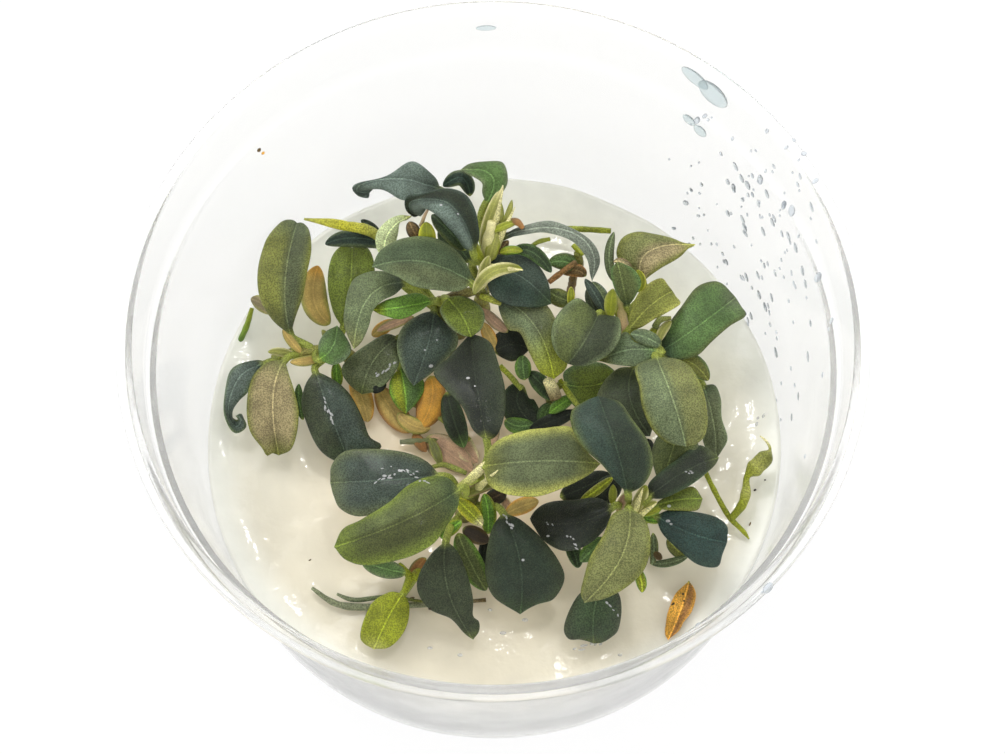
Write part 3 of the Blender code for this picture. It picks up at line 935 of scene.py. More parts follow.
@dataclass(frozen=True)
class Leaf:
    """A leaf whose midrib and margins are read in the picture.

    The marks of the midrib are columns, rows and heights. A blade has a margin of columns and rows
    at each hand of someone who looks from its stalk to its tip, or else it is an oval with a width.
    A blade with no stem has no stalk either.
    """

    name: str
    stem: str
    joint: float
    marks: tuple[Spot, ...]
    look: Look
    left: tuple[Spot, ...] = ()
    right: tuple[Spot, ...] = ()
    sheen: Sheen = Sheen.SATIN
    camber: float = 0.2
    wave: Wave = Wave()
    width: float = 0.0
    sides: int = 32
    stalk_spans: int = 10
    blade_spans: int = 56

    stalk_half_width: ClassVar[float] = 0.5
    stalk_half_thickness: ClassVar[float] = 0.4
    stalk_bend: ClassVar[float] = 0.4
    sheath_swell: ClassVar[float] = 0.35
    blade_half_thickness: ClassVar[float] = 0.16
    edge_fullness: ClassVar[float] = 2.6
    base_half_width: ClassVar[float] = 0.1
    base_half_thickness: ClassVar[float] = 0.05
    tip_half_width: ClassVar[float] = 0.04
    groove_depth: ClassVar[float] = 0.14
    groove_width: ClassVar[float] = 0.22
    rough_scale: ClassVar[float] = 0.45
    rough_height: ClassVar[float] = 0.16
    reach: ClassVar[float] = 0.02

    @cached_property
    def midrib(self) -> Route:
        """The midrib."""
        return Route(tuple(VIEW.place(*mark) for mark in self.marks))

    @cached_property
    def heights(self) -> Route:
        """The midrib in the picture, with its height as the third number."""
        return Route(tuple(Vector(mark) for mark in self.marks))

    @cached_property
    def margins(self) -> tuple[Route, ...]:
        """The margins in the picture.

        Returns:
            The left margin, then the right one.
        """
        first, last = self.marks[0][:2], self.marks[-1][:2]
        return tuple(
            Route(tuple(Vector((*spot, 0.0)) for spot in (first, *spots, last)))
            for spots in (self.left, self.right)
        )

    @cached_property
    def length(self) -> float:
        """The length of the midrib."""
        return self.midrib.walk[-1][0]

    def heading(self, part: float) -> Vector:
        """The direction of the midrib."""
        ahead = self.midrib.at(part + self.reach)
        return (ahead - self.midrib.at(part - self.reach)).normalized()

    def stalk(self, stem: Stem) -> tuple[Vector, ...]:
        """The stalk's curve, from inside its stem to its blade.

        Args:
            stem: The stem that it grows from.

        Returns:
            The four control points.
        """
        base = self.midrib.at(0.0)
        joint = stem.axis(self.joint)
        growth = stem.heading(self.joint)
        towards = base - joint
        outwards = (towards - growth * towards.dot(growth)).normalized()
        start = joint + outwards * (stem.thickness(self.joint) * 0.4)
        reach = (base - start).length * self.stalk_bend
        leave = (outwards + growth * 0.5).normalized()
        return (start, start + leave * reach, base - self.heading(0.0) * reach, base)

    def stalk_ring(self, part: float, stalk: tuple[Vector, ...]) -> Ring:
        """The ring at a share of the stalk.

        Args:
            part: From 0 in the stem to 1 at the blade.
            stalk: The stalk's control points.

        Returns:
            The ring.
        """
        heading = (cubic(stalk, part + NUDGE) - cubic(stalk, part - NUDGE)).normalized()
        sheath = 1.0 + self.sheath_swell * smooth(0.3, 0.0, part)
        side = heading.cross(VIEW.back).normalized()
        reach = side * (self.stalk_half_width * sheath)
        thickness = self.stalk_half_thickness * sheath
        return Ring(cubic(stalk, part), -reach, reach, side.cross(heading), thickness, part - 1.0, -1.0)

    def margin_way(self, hand: int, part: float, side: Vector) -> Vector:
        """The way from the midrib to a margin.

        Args:
            hand: 0 for the left margin, 1 for the right one.
            part: The share of the blade.
            side: The direction to the right.

        Returns:
            The way, with the margin's drop.
        """
        turn = 2.0 * hand - 1.0
        if self.left:
            spot = self.margins[hand].at(part)
            way = VIEW.place(spot.x, spot.y, self.heights.at(part).z) - self.midrib.at(part)
        else:
            way = side * (turn * self.width * 0.5 * oval_width(part))
        roll = math.sin(math.tau * self.wave.count * part + 2.1 * hand)
        drop = (self.camber + self.wave.height * roll) * smooth(0.0, 0.2, part)
        way = way - VIEW.back * (drop * way.length)
        base_width = self.stalk_half_width if self.stalk_spans else self.base_half_width
        least = mixed(base_width, self.tip_half_width, smooth(0.0, 0.3, part))
        return way if way.length > least else side * (turn * least)

    def blade_ring(self, place: float) -> Ring:
        """A ring of the blade.

        Args:
            place: The ring's number as a share of them all, which stand closer near both ends.

        Returns:
            The ring.
        """
        part = 0.5 - 0.5 * math.cos(math.pi * place)
        heading = self.heading(part)
        side = heading.cross(VIEW.back).normalized()
        left, right = (self.margin_way(hand, part, side) for hand in (0, 1))
        normal = (right - left).cross(heading)
        normal = normal.normalized() if normal.length > 0.01 else side.cross(heading)
        start = self.stalk_half_thickness if self.stalk_spans else self.base_half_thickness
        thickness = mixed(start, self.blade_half_thickness, min(part * 5.0, 1.0))
        return Ring(self.midrib.at(part), left, right, normal, thickness, part, part * self.length)

    def rings(self, stem: Stem | None) -> list[Ring]:
        """All rings, from the stalk's start to the tip.

        Args:
            stem: The stem that it grows from, if it has one.

        Returns:
            The rings.
        """
        rings = []
        if stem:
            stalk = self.stalk(stem)
            rings = [self.stalk_ring(step / self.stalk_spans, stalk) for step in range(self.stalk_spans)]
        return rings + [self.blade_ring(step / self.blade_spans) for step in range(self.blade_spans + 1)]

    def place(self, rings: list[Ring], along: float, across: float, up: float) -> Tinted:
        """A point of the surface.

        Args:
            rings: The leaf's rings.
            along: The ring's number as a share of them all.
            across: From -1 at the left margin to 1 at the right one.
            up: From -1 on the underside to 1 on top.

        Returns:
            The tinted point.
        """
        ring = rings[round(along * (len(rings) - 1))]
        spread = across * (0.6 + 0.4 * across * across)
        share = abs(spread)
        blade = smooth(0.0, 0.2, ring.along)
        level = mixed(up, max(min(up * self.edge_fullness, 1.0), -1.0), blade)
        way = ring.right if spread > 0.0 else ring.left
        off_rib = way.length * share
        groove = self.groove_depth * math.exp(-(off_rib / self.groove_width) ** 2) * blade
        groove *= min((1.0 - ring.along) / 0.15, 1.0)
        point = ring.centre + Vector((way.x * share, way.y * share, way.z * share * share))
        rough = noise.noise(point * self.rough_scale) * self.rough_height * blade
        point += ring.normal * (ring.half_thickness * level - groove + rough)
        tint = self.look.tint(ring.along, spread, up > -0.02)
        return point, tint, Vector((math.copysign(off_rib, spread), ring.distance, share))

    def body(self, stem: Stem | None = None) -> bmesh.types.BMesh:
        """The leaf's closed body, with its stalk if it has a stem."""
        rings = self.rings(stem)
        return swept_body(partial(self.place, rings), len(rings) - 1, self.sides)

    def make(self, stem: Stem) -> bpy.types.Object:
        """The dressed leaf, in place of its CAD solid."""
        node = "leaf_" + self.name
        return finished(f"{node}_fine", self.body(stem), self.sheen.material, SLOTS[node], node)


# The name, stem and joint of a blade that is loose.
LOOSE = ("", "", 0.0)


@dataclass(frozen=True)
class Leaflet:
    """A small leaf, bract or scrap that grows from a crown or lies among the stems."""

    marks: tuple[Spot, ...]
    width: float
    heart: Tone
    margin: Tone | None = None
    tip: Tone | None = None
    camber: float = 0.25

    def body(self) -> bmesh.types.BMesh:
        """The leaflet's closed body.

        Returns:
            The body.
        """
        look = Look(self.heart, self.margin or self.heart, self.tip, under=self.margin or self.heart)
        leaf = Leaf(
            *LOOSE, self.marks, look, camber=self.camber, width=self.width,
            sides=16, stalk_spans=0, blade_spans=24,
        )
        return leaf.body()


@dataclass(frozen=True)
class Strand:
    """A root, stick or rolled leaf along a free route."""

    marks: tuple[Spot, ...]
    radii: tuple[float, ...]
    tones: tuple[Tone, ...]
    spans: int = 48
    sides: int = 14

    rough_scale: ClassVar[float] = 0.8
    rough_share: ClassVar[float] = 0.25

    @cached_property
    def points(self) -> tuple[Vector, ...]:
        """The points of the axis."""
        return tuple(VIEW.place(*mark) for mark in self.marks)

    def between(self, values: tuple, along: float) -> tuple:
        """The two values beside a share of the route.

        Args:
            values: Values at even shares of the route.
            along: The share.

        Returns:
            The two values, and how far it is from the first to the second.
        """
        place = min(max(along, 0.0), 1.0) * (len(values) - 1)
        number = min(int(place), len(values) - 2)
        return values[number], values[number + 1], place - number

    def place(self, along: float, across: float, up: float) -> Tinted:
        """A point of the surface.

        Args:
            along: The share of the route.
            across: From -1 at the left to 1 at the right.
            up: From -1 underneath to 1 on top.

        Returns:
            The tinted point.
        """
        centre = smooth_route(self.points, along)
        ahead = smooth_route(self.points, min(along + NUDGE, 1.0))
        behind = smooth_route(self.points, max(along - NUDGE, 0.0))
        heading = (ahead - behind).normalized()
        side = heading.cross(Vector((0.0, 0.0, 1.0))).normalized()
        normal = side.cross(heading)
        low, high, share = self.between(self.radii, along)
        radius = mixed(low, high, smooth(0.0, 1.0, share))
        radius *= 1.0 + self.rough_share * noise.noise(centre * self.rough_scale)
        first, second, share = self.between(self.tones, along)
        colour = first.light.lerp(second.light, share)
        point = centre + (side * across + normal * up) * radius
        return point, Vector((*colour, 0.0)), Vector((across, along * 20.0, 0.5))

    def body(self) -> bmesh.types.BMesh:
        """The strand's closed body."""
        return swept_body(self.place, self.spans, self.sides)


@dataclass(frozen=True)
class Bunch:
    """Small leaves, bracts, scraps and stalks that are one piece."""

    name: str
    slot: str
    leaflets: tuple[Leaflet | Leaf, ...] = ()
    strands: tuple[Strand, ...] = ()
    sheen: Sheen = Sheen.SATIN
    nodes: tuple[str, ...] = ()

    def make(self) -> bpy.types.Object:
        """The dressed piece, in place of its CAD solids if it has any."""
        bodies = [part.body() for part in self.leaflets + self.strands]
        return finished(self.name, joined(bodies), self.sheen.material, self.slot, *self.nodes)


# Short for Tone in the tables below.
T = Tone

STEMS = (
    Stem("stem_back", (484, 318, 9.6), (482, 292, 18), (488, 262, 27), tone=T.STRAW, bracts=(
        Bract(0.9, (503, 190, 33), 0.8),
        Bract(0.9, (515, 207, 32.5)),
        Bract(0.9, (523, 270, 32)),
    )),
    Stem("stem_centre", (462, 336, 9.6), (452, 322, 17), (438, 297, 22)),
    Stem("stem_left", (356, 372, 9.6), (338, 352, 18), (272, 357, 18), 1.0, T.STRAW),
    Stem("stem_back_right", (570, 300, 9.6), (572, 284, 16), (577, 262, 21), 0.6, T.BROWN),
    Stem("stem_middle", (556, 412, 9.6), (552, 398, 15), (549, 380, 20), 1.0),
    Stem("stem_right", (628, 350, 9.6), (624, 334, 18), (622, 316, 23), tone=T.STRAW, bracts=(
        Bract(0.85, (608, 293, 27), tip_tone=T.LIME),
    )),
    Stem("stem_front_right", (630, 540, 9.6), (632, 528, 16), (631, 512, 22), 1.2, T.STRAW, (
        Bract(0.9, (643, 488, 27)),
        Bract(0.8, (657, 503, 25.5)),
    )),
    Stem("stem_front", (462, 520, 9.6), (468, 505, 16), (474, 487, 22), 1.2, bracts=(
        Bract(0.85, (498, 470, 30)),
    )),
    Stem("stem_front_left", (436, 568, 9.6), (426, 572, 14), (412, 574, 16), 0.8, T.LIME),
)

LEAVES = (
    Leaf("upper_left_1", "stem_left", 0.75, ((291, 335, 21), (285, 283, 26), (297, 224, 23)),
         Look(T.GREY_OLIVE, T.OLIVE, tip=T.SAGE, base=T.SHADE, left=T.OLIVE),
         ((272, 320), (259, 297), (257, 268), (265, 240), (280, 222), (291, 220)),
         ((295, 318), (302, 298), (306, 275), (311, 250), (309, 230), (303, 223)), camber=0.25),
    Leaf("upper_left_2", "stem_left", 0.5, ((343, 328, 18.5), (350, 288, 22), (352, 248, 21.5)),
         Look(T.MEADOW, T.MEADOW),
         ((334, 314), (328, 292), (328, 268), (334, 252), (344, 245)),
         ((362, 312), (373, 285), (374, 263), (368, 248), (360, 245))),
    Leaf("upper_left_3", "stem_centre", 0.6, ((388, 264, 23), (387, 236, 27), (411, 216, 30)),
         Look(T.PALE_UNDER, T.PALE_UNDER, tip=T.OLIVE, tip_start=0.75),
         ((377, 250), (376, 234), (386, 221), (399, 215)),
         ((394, 248), (398, 233), (400, 222), (406, 220)), camber=0.3),
    Leaf("upper_left_4", "stem_centre", 0.86, ((406, 284, 24), (369, 297, 26), (354, 349, 23.5)),
         Look(T.SAGE, T.SAGE, tip=T.PALE_OLIVE, base=T.SLATE),
         ((395, 294), (380, 302), (372, 312), (369, 325), (362, 341)),
         ((392, 273), (370, 271), (352, 280), (345, 303), (344, 326)), camber=0.3),
    Leaf("back_1", "stem_back", 0.5,
         ((440, 190, 28), (412, 181, 31), (386, 179, 31.5), (362, 184, 30.5), (357, 191, 28.5),
          (369, 193, 27)),
         Look(T.STEEL, T.STEEL, base=T.SLATE, under=T.MOSS, stalk=T.SAGE),
         ((425, 197), (403, 200), (385, 190), (374, 187), (369, 187), (373, 189)),
         ((434, 176), (412, 161), (386, 176), (362, 182), (352, 188), (358, 196), (368, 198)),
         Sheen.DRY, 0.15),
    Leaf("back_2", "stem_back", 0.9, ((486, 203, 31), (492, 176, 34), (461, 170, 32)),
         Look(T.LEAF, T.SAGE, tip=T.SAGE),
         ((482, 192), (482, 183), (474, 177), (467, 174)),
         ((500, 195), (508, 181), (503, 162), (486, 161), (470, 164)), Sheen.DRY, 0.3),
    Leaf("back_3", "stem_back", 0.97,
         ((473, 252, 29), (466, 226, 33), (449, 204, 34.5), (427, 199, 34), (410, 202, 32), (411, 213, 29),
          (419, 215, 27.5)),
         Look(T.SLATE, T.SLATE, left=T.STEEL, right=T.INK, under=T.MOSS),
         ((464, 248), (456, 236), (445, 224), (434, 211), (428, 207), (425, 211), (421, 216)),
         ((479, 238), (477, 217), (467, 195), (447, 188), (424, 193), (407, 196), (405, 208), (413, 217)),
         Sheen.DRY, 0.1),
    Leaf("back_4", "stem_back", 0.8, ((472, 284, 27.5), (424, 262, 31), (373, 267, 28)),
         Look(T.DIM_SAGE, T.SAGE, tip=T.SEA, left=T.GREY_OLIVE),
         ((458, 291), (436, 290), (414, 286), (400, 278), (386, 272)),
         ((467, 264), (451, 246), (428, 236), (402, 238), (383, 248), (376, 257)), Sheen.DRY, 0.3),
    Leaf("back_5", "stem_back", 0.8,
         ((500, 238, 28), (530, 229, 30.5), (560, 229, 32), (583, 239, 31.5), (594, 258, 29),
          (592, 281, 26.5)),
         Look(T.PALE_STEEL, T.PALE_STEEL, base=T.SLATE, left=T.PALE_STEEL),
         ((515, 229), (532, 223), (552, 221), (578, 231), (595, 245), (600, 262)),
         ((515, 236), (540, 232), (561, 236), (576, 244), (587, 259), (590, 274)), Sheen.DRY, 0.4),
    Leaf("back_6", "stem_back", 0.7, ((480, 262, 26), (518, 275, 27), (551, 304, 25.2)),
         Look(T.SLATE, T.SLATE, tip=T.BOTTLE, left=T.SLATE, right=T.TEAL),
         ((490, 255), (514, 252), (531, 257), (544, 273), (550, 289)),
         ((485, 272), (491, 294), (506, 304), (524, 307), (540, 307)), Sheen.DRY, 0.3),
    Leaf("back_7", "stem_back", 0.5, ((500, 300, 22.5), (535, 326, 25), (554, 379, 22)),
         Look(T.GREY_OLIVE, T.PALE_OLIVE, tip=T.LIME, base=T.SLATE, right=T.SAGE, tip_start=0.45),
         ((518, 294), (543, 301), (557, 322), (564, 345), (567, 366)),
         ((499, 310), (508, 329), (520, 333), (529, 352), (540, 372)), camber=0.3),
    Leaf("centre_1", "stem_centre", 0.95, ((432, 301, 24), (402, 307, 25), (372, 310, 24)),
         Look(T.FRESH, T.FRESH, tip=T.LIME),
         ((420, 311), (400, 319), (382, 315)),
         ((418, 293), (395, 297), (380, 303)), camber=0.3),
    Leaf("centre_2", "stem_centre", 0.95, ((447, 299, 24), (461, 314, 25), (471, 337, 24)),
         Look(T.MEADOW, T.SAGE, margin_start=0.8),
         ((460, 296), (473, 300), (484, 312), (482, 328)),
         ((440, 309), (444, 320), (454, 331), (464, 336))),
    Leaf("centre_3", "stem_centre", 0.54, ((434, 311, 21.5), (428, 345, 22), (414, 385, 18.5)),
         Look(T.SLATE, T.SAGE, base=T.SLATE, left=T.SLATE, margin_start=0.75),
         ((443, 321), (457, 334), (456, 348), (444, 361), (428, 376)),
         ((418, 315), (402, 327), (396, 345), (401, 365), (408, 379)), Sheen.WET, 0.3),
    Leaf("centre_4", "stem_centre", 0.38, ((399, 338, 19), (374, 360, 19), (362, 394, 16.5)),
         Look(T.GREY_OLIVE, T.SAGE, tip=T.MOSS, base=T.SHADE),
         ((401, 352), (398, 366), (388, 381), (376, 391)),
         ((385, 334), (364, 346), (347, 359), (341, 371), (349, 385)), Sheen.WET, 0.3),
    Leaf("centre_5", "stem_centre", 0.25, ((400, 368, 16.5), (405, 391, 17), (406, 413, 15)),
         Look(T.FRESH, T.FRESH, left=T.LEAF, right=T.LIME),
         ((415, 372), (425, 385), (419, 400)),
         ((391, 378), (389, 392), (397, 407))),
    Leaf("left_1", "stem_left", 0.85, ((285, 360, 20.5), (273, 398, 20), (279, 455, 15)),
         Look(T.ROSY, T.OLIVE, tip=T.OLIVE, base=T.PALE_OLIVE, margin_start=0.75),
         ((289, 374), (295, 392), (299, 412), (297, 434), (291, 450)),
         ((268, 362), (253, 377), (247, 403), (250, 430), (262, 448), (267, 456), (272, 453)),
         Sheen.DRY, -0.15),
    Leaf("left_2", "stem_left", 0.95,
         ((267, 363, 18.5), (243, 374, 18.5), (231, 395, 18), (228, 415, 16.5), (236, 427, 15),
          (241, 420, 16), (236, 416, 17)),
         Look(T.STEEL, T.SEA, base=T.TEAL, under=T.OLIVE),
         ((257, 374), (248, 392), (234, 405), (231, 416), (236, 421), (238, 419)),
         ((256, 360), (232, 368), (225, 390), (224, 414), (234, 433), (246, 427), (241, 414)),
         camber=0.15),
    Leaf("left_3", "stem_left", 0.6, ((315, 371, 19.5), (329, 410, 19.5), (349, 462, 15.5)),
         Look(T.SLATE, T.SHADE, tip=T.BOTTLE, base=T.SHADE, right=T.SHADE),
         ((334, 380), (350, 395), (362, 418), (369, 437), (381, 446), (368, 458)),
         ((305, 385), (301, 405), (309, 432), (320, 451), (335, 461)), Sheen.WET, 0.3),
    Leaf("left_4", "stem_left", 0.7, ((320, 359, 21), (333, 346, 22), (337, 326, 21)),
         Look(T.LEAF, T.SEA, base=T.FRESH),
         ((318, 345), (325, 332)),
         ((332, 365), (346, 359), (351, 348), (344, 334))),
    Leaf("right_1", "stem_right", 0.9, ((598, 315, 26), (584, 342, 27.5), (568, 363, 25)),
         Look(T.SHADE, T.SAGE, base=T.SHADE, right=T.MOSS, left=T.SHADE, margin_start=0.75),
         ((611, 316), (620, 318), (621, 336), (612, 352), (594, 363), (580, 366)),
         ((590, 306), (578, 298), (565, 306), (553, 323), (552, 343), (559, 357))),
    Leaf("right_2", "stem_right", 0.8, ((657, 352, 24.7), (629, 350, 25.3), (599, 361, 23.5)),
         Look(T.SEA, T.SAGE, tip=T.OLIVE, base=T.LEAF),
         ((650, 361), (638, 366), (625, 366), (611, 364)),
         ((648, 344), (635, 342), (628, 332), (621, 334), (617, 344), (609, 352))),
    Leaf("right_3", "stem_right", 0.95, ((643, 282, 26), (648, 252, 29), (695, 245, 28)),
         Look(T.ROSY, T.OLIVE, tip=T.STRAW, left=T.PALE_OLIVE),
         ((630, 267), (617, 256), (622, 238), (640, 231), (668, 237), (682, 243)),
         ((651, 275), (663, 267), (680, 257), (688, 249)), Sheen.DRY, 0.25),
    Leaf("right_4", "stem_right", 0.98, ((627, 306, 25.5), (623, 285, 28.5), (617, 262, 30)),
         Look(T.MOSS, T.LEAF, base=T.BOTTLE),
         ((619, 298), (613, 285), (611, 270)),
         ((634, 298), (641, 283), (634, 270), (624, 264)), camber=-0.3),
    Leaf("right_5", "stem_right", 0.9, ((629, 330, 24.5), (650, 306, 26.8), (672, 292, 26)),
         Look(T.OLIVE, T.STRAW, base=T.OLIVE),
         ((630, 314), (638, 294), (651, 282), (662, 278), (667, 284)),
         ((640, 328), (655, 319), (670, 311), (681, 303), (676, 297)), Sheen.DRY),
    Leaf("right_6", "stem_right", 0.4, ((660, 353, 22), (700, 325, 25), (735, 298, 22)),
         Look(T.LEAF, T.MOSS, tip=T.SAGE, base=T.TEAL, margin_start=0.75),
         ((660, 341), (668, 325), (682, 306), (697, 287), (712, 281), (724, 284)),
         ((675, 360), (697, 356), (712, 342), (730, 326), (746, 316), (742, 307))),
    Leaf("right_7", "stem_right", 0.6, ((656, 358, 25.8), (673, 400, 30), (686, 446, 26)),
         Look(T.SAGE, T.OLIVE, left=T.PALE_OLIVE, right=T.SAGE, base=T.GREY_OLIVE, margin_start=0.8),
         ((677, 359), (692, 368), (704, 390), (709, 415), (706, 434), (698, 443)),
         ((636, 367), (640, 388), (643, 408), (653, 430), (668, 443)), camber=0.3),
    Leaf("right_8", "stem_right", 0.3, ((678, 430, 23), (671, 455, 23), (661, 484, 22)),
         Look(T.MOSS, T.GREY_OLIVE, base=T.SHADE, margin_start=0.8),
         ((692, 436), (699, 446), (688, 458), (673, 473)),
         ((660, 434), (652, 452), (655, 472))),
    Leaf("middle_1", "stem_middle", 0.75, ((565, 385, 19), (590, 386, 18.5), (620, 376, 17)),
         Look(T.MEADOW, T.LEAF, base=T.LEAF),
         ((564, 372), (580, 363), (603, 363)),
         ((568, 398), (580, 409), (605, 405))),
    Leaf("middle_2", "stem_right", 0.25, ((634, 368, 20.5), (630, 398, 23), (650, 436, 20)),
         Look(T.SHADE, T.GREY_OLIVE, left=T.SHADE, base=T.MOSS),
         ((640, 386), (645, 408), (653, 424)),
         ((618, 369), (603, 383), (597, 402), (608, 424), (632, 435))),
    Leaf("front_right_1", "stem_front_right", 0.97, ((628, 493, 27), (616, 447, 33), (598, 397, 31)),
         Look(T.PINE, T.MOSS, left=T.TEAL, margin_start=0.8),
         ((616, 481), (602, 465), (583, 447), (572, 427), (572, 411), (585, 401)),
         ((645, 484), (654, 463), (648, 440), (634, 421), (622, 404), (611, 399)), camber=0.3),
    Leaf("front_right_2", "stem_front_right", 0.85, ((629, 509, 25.5), (622, 556, 28), (585, 602, 24)),
         Look(T.PALE_OLIVE, T.OLIVE, margin_start=0.7),
         ((644, 518), (651, 540), (646, 568), (628, 587), (604, 599)),
         ((613, 514), (603, 536), (590, 558), (584, 578), (581, 593)), camber=0.25),
    Leaf("front_right_3", "stem_front_right", 0.5, ((656, 516, 21), (692, 534, 21.5), (726, 542, 19)),
         Look(T.DEEP_TEAL, T.TEAL),
         ((670, 510), (695, 512), (716, 517), (728, 527)),
         ((662, 533), (680, 551), (698, 565), (718, 567), (723, 553)), camber=0.15),
    Leaf("front_right_4", "stem_front_right", 0.3, ((602, 584, 17.5), (594, 612, 17.5), (594, 643, 14.5)),
         Look(T.BOTTLE, T.SHADE, tip=T.MOSS, tip_start=0.8),
         ((618, 592), (622, 610), (619, 630), (611, 638), (602, 643)),
         ((582, 592), (571, 608), (564, 629), (569, 640), (580, 640)), Sheen.WET, 0.3),
    Leaf("front_right_5", "stem_front_right", 0.7, ((652, 507, 22), (678, 500, 22), (702, 499, 20.5)),
         Look(T.MEADOW, T.OLIVE),
         ((662, 499), (680, 490), (694, 487)),
         ((665, 510), (682, 511), (698, 510))),
    Leaf("front_right_6", "stem_front_right", 0.92, ((648, 498, 24), (684, 472, 24), (718, 458, 20)),
         Look(T.INK, T.BOTTLE, tip=T.MOSS, base=T.PITCH),
         ((650, 482), (676, 460), (700, 445)),
         ((665, 498), (690, 486), (707, 473), (716, 464))),
    Leaf("front_right_7", "stem_right", 0.2, ((703, 386, 19.5), (713, 421, 19.5), (716, 459, 17)),
         Look(T.GREY_OLIVE, T.SAGE, base=T.BOTTLE),
         ((715, 385), (721, 398), (722, 418), (728, 438), (722, 451)),
         ((702, 400), (704, 420), (703, 440), (709, 454))),
    Leaf("front_right_8", "stem_front_right", 0.75, ((613, 507, 24), (575, 523, 23.5), (531, 519, 18.5)),
         Look(T.PITCH, T.INK),
         ((606, 528), (588, 545), (566, 552), (546, 543), (534, 527)),
         ((598, 498), (575, 500), (550, 502), (537, 509)), Sheen.WET, 0.3),
    Leaf("front_1", "stem_front", 0.95, ((484, 467, 27), (541, 461, 30.5), (600, 464, 28)),
         Look(T.GREY_OLIVE, T.STRAW, tip=T.OLIVE, base=T.OLIVE),
         ((491, 446), (515, 433), (545, 428), (573, 428), (587, 451)),
         ((489, 485), (508, 495), (538, 497), (566, 487), (589, 475)), Sheen.DRY, 0.25),
    Leaf("front_2", "stem_front", 0.7, ((440, 476, 24), (386, 480, 25), (331, 483, 21)),
         Look(T.SLATE, T.GREY_OLIVE, tip=T.GREY_OLIVE, base=T.INK),
         ((422, 499), (386, 511), (358, 517), (340, 509), (333, 495)),
         ((426, 461), (402, 452), (368, 449), (343, 452), (331, 466)), Sheen.WET, 0.2),
    Leaf("front_3", "stem_front", 0.9, ((459, 490, 28), (404, 521, 30), (335, 547, 26)),
         Look(T.DARK_OLIVE, T.MEADOW, tip=T.MEADOW, base=T.BOTTLE, left=T.DARK_OLIVE, right=T.MOSS),
         ((458, 506), (447, 526), (431, 546), (402, 560), (366, 566), (345, 560)),
         ((448, 478), (428, 477), (407, 486), (388, 503), (362, 519), (342, 530)), camber=0.3),
    Leaf("front_4", "stem_front", 0.6, ((503, 513, 21), (520, 562, 21.5), (520, 613, 16)),
         Look(T.PINE, T.SHADE, base=T.INK, tip=T.BOTTLE),
         ((521, 520), (541, 538), (558, 560), (565, 580), (554, 600), (536, 605)),
         ((493, 526), (487, 548), (485, 574), (491, 594), (506, 607)), camber=0.3),
    Leaf("front_5", "stem_front", 0.8, ((487, 441, 26), (477, 388, 27), (471, 334, 23)),
         Look(T.PITCH, T.SHADE, base=T.PITCH, right=T.INK),
         ((473, 430), (462, 407), (447, 391), (433, 372), (448, 358), (462, 343)),
         ((498, 434), (505, 412), (505, 388), (498, 362), (490, 342)), Sheen.WET, 0.25),
    Leaf("front_6", "stem_front", 0.5, ((446, 541, 21), (448, 590, 20), (473, 639, 14.5)),
         Look(T.SHADE, T.SHADE, tip=T.MOSS, tip_start=0.85),
         ((457, 551), (468, 577), (473, 600), (473, 616), (479, 622), (479, 632)),
         ((432, 553), (419, 574), (417, 592), (428, 609), (450, 619), (464, 633)), camber=0.3),
    Leaf("front_left_1", "stem_front_left", 0.9, ((403, 594, 15.5), (388, 618, 15.5), (374, 649, 14)),
         Look(T.LIME, T.LIME, tip=T.STRAW),
         ((409, 604), (408, 622), (400, 638), (388, 648)),
         ((390, 592), (373, 602), (364, 619), (360, 636), (364, 644)), camber=0.15),
)

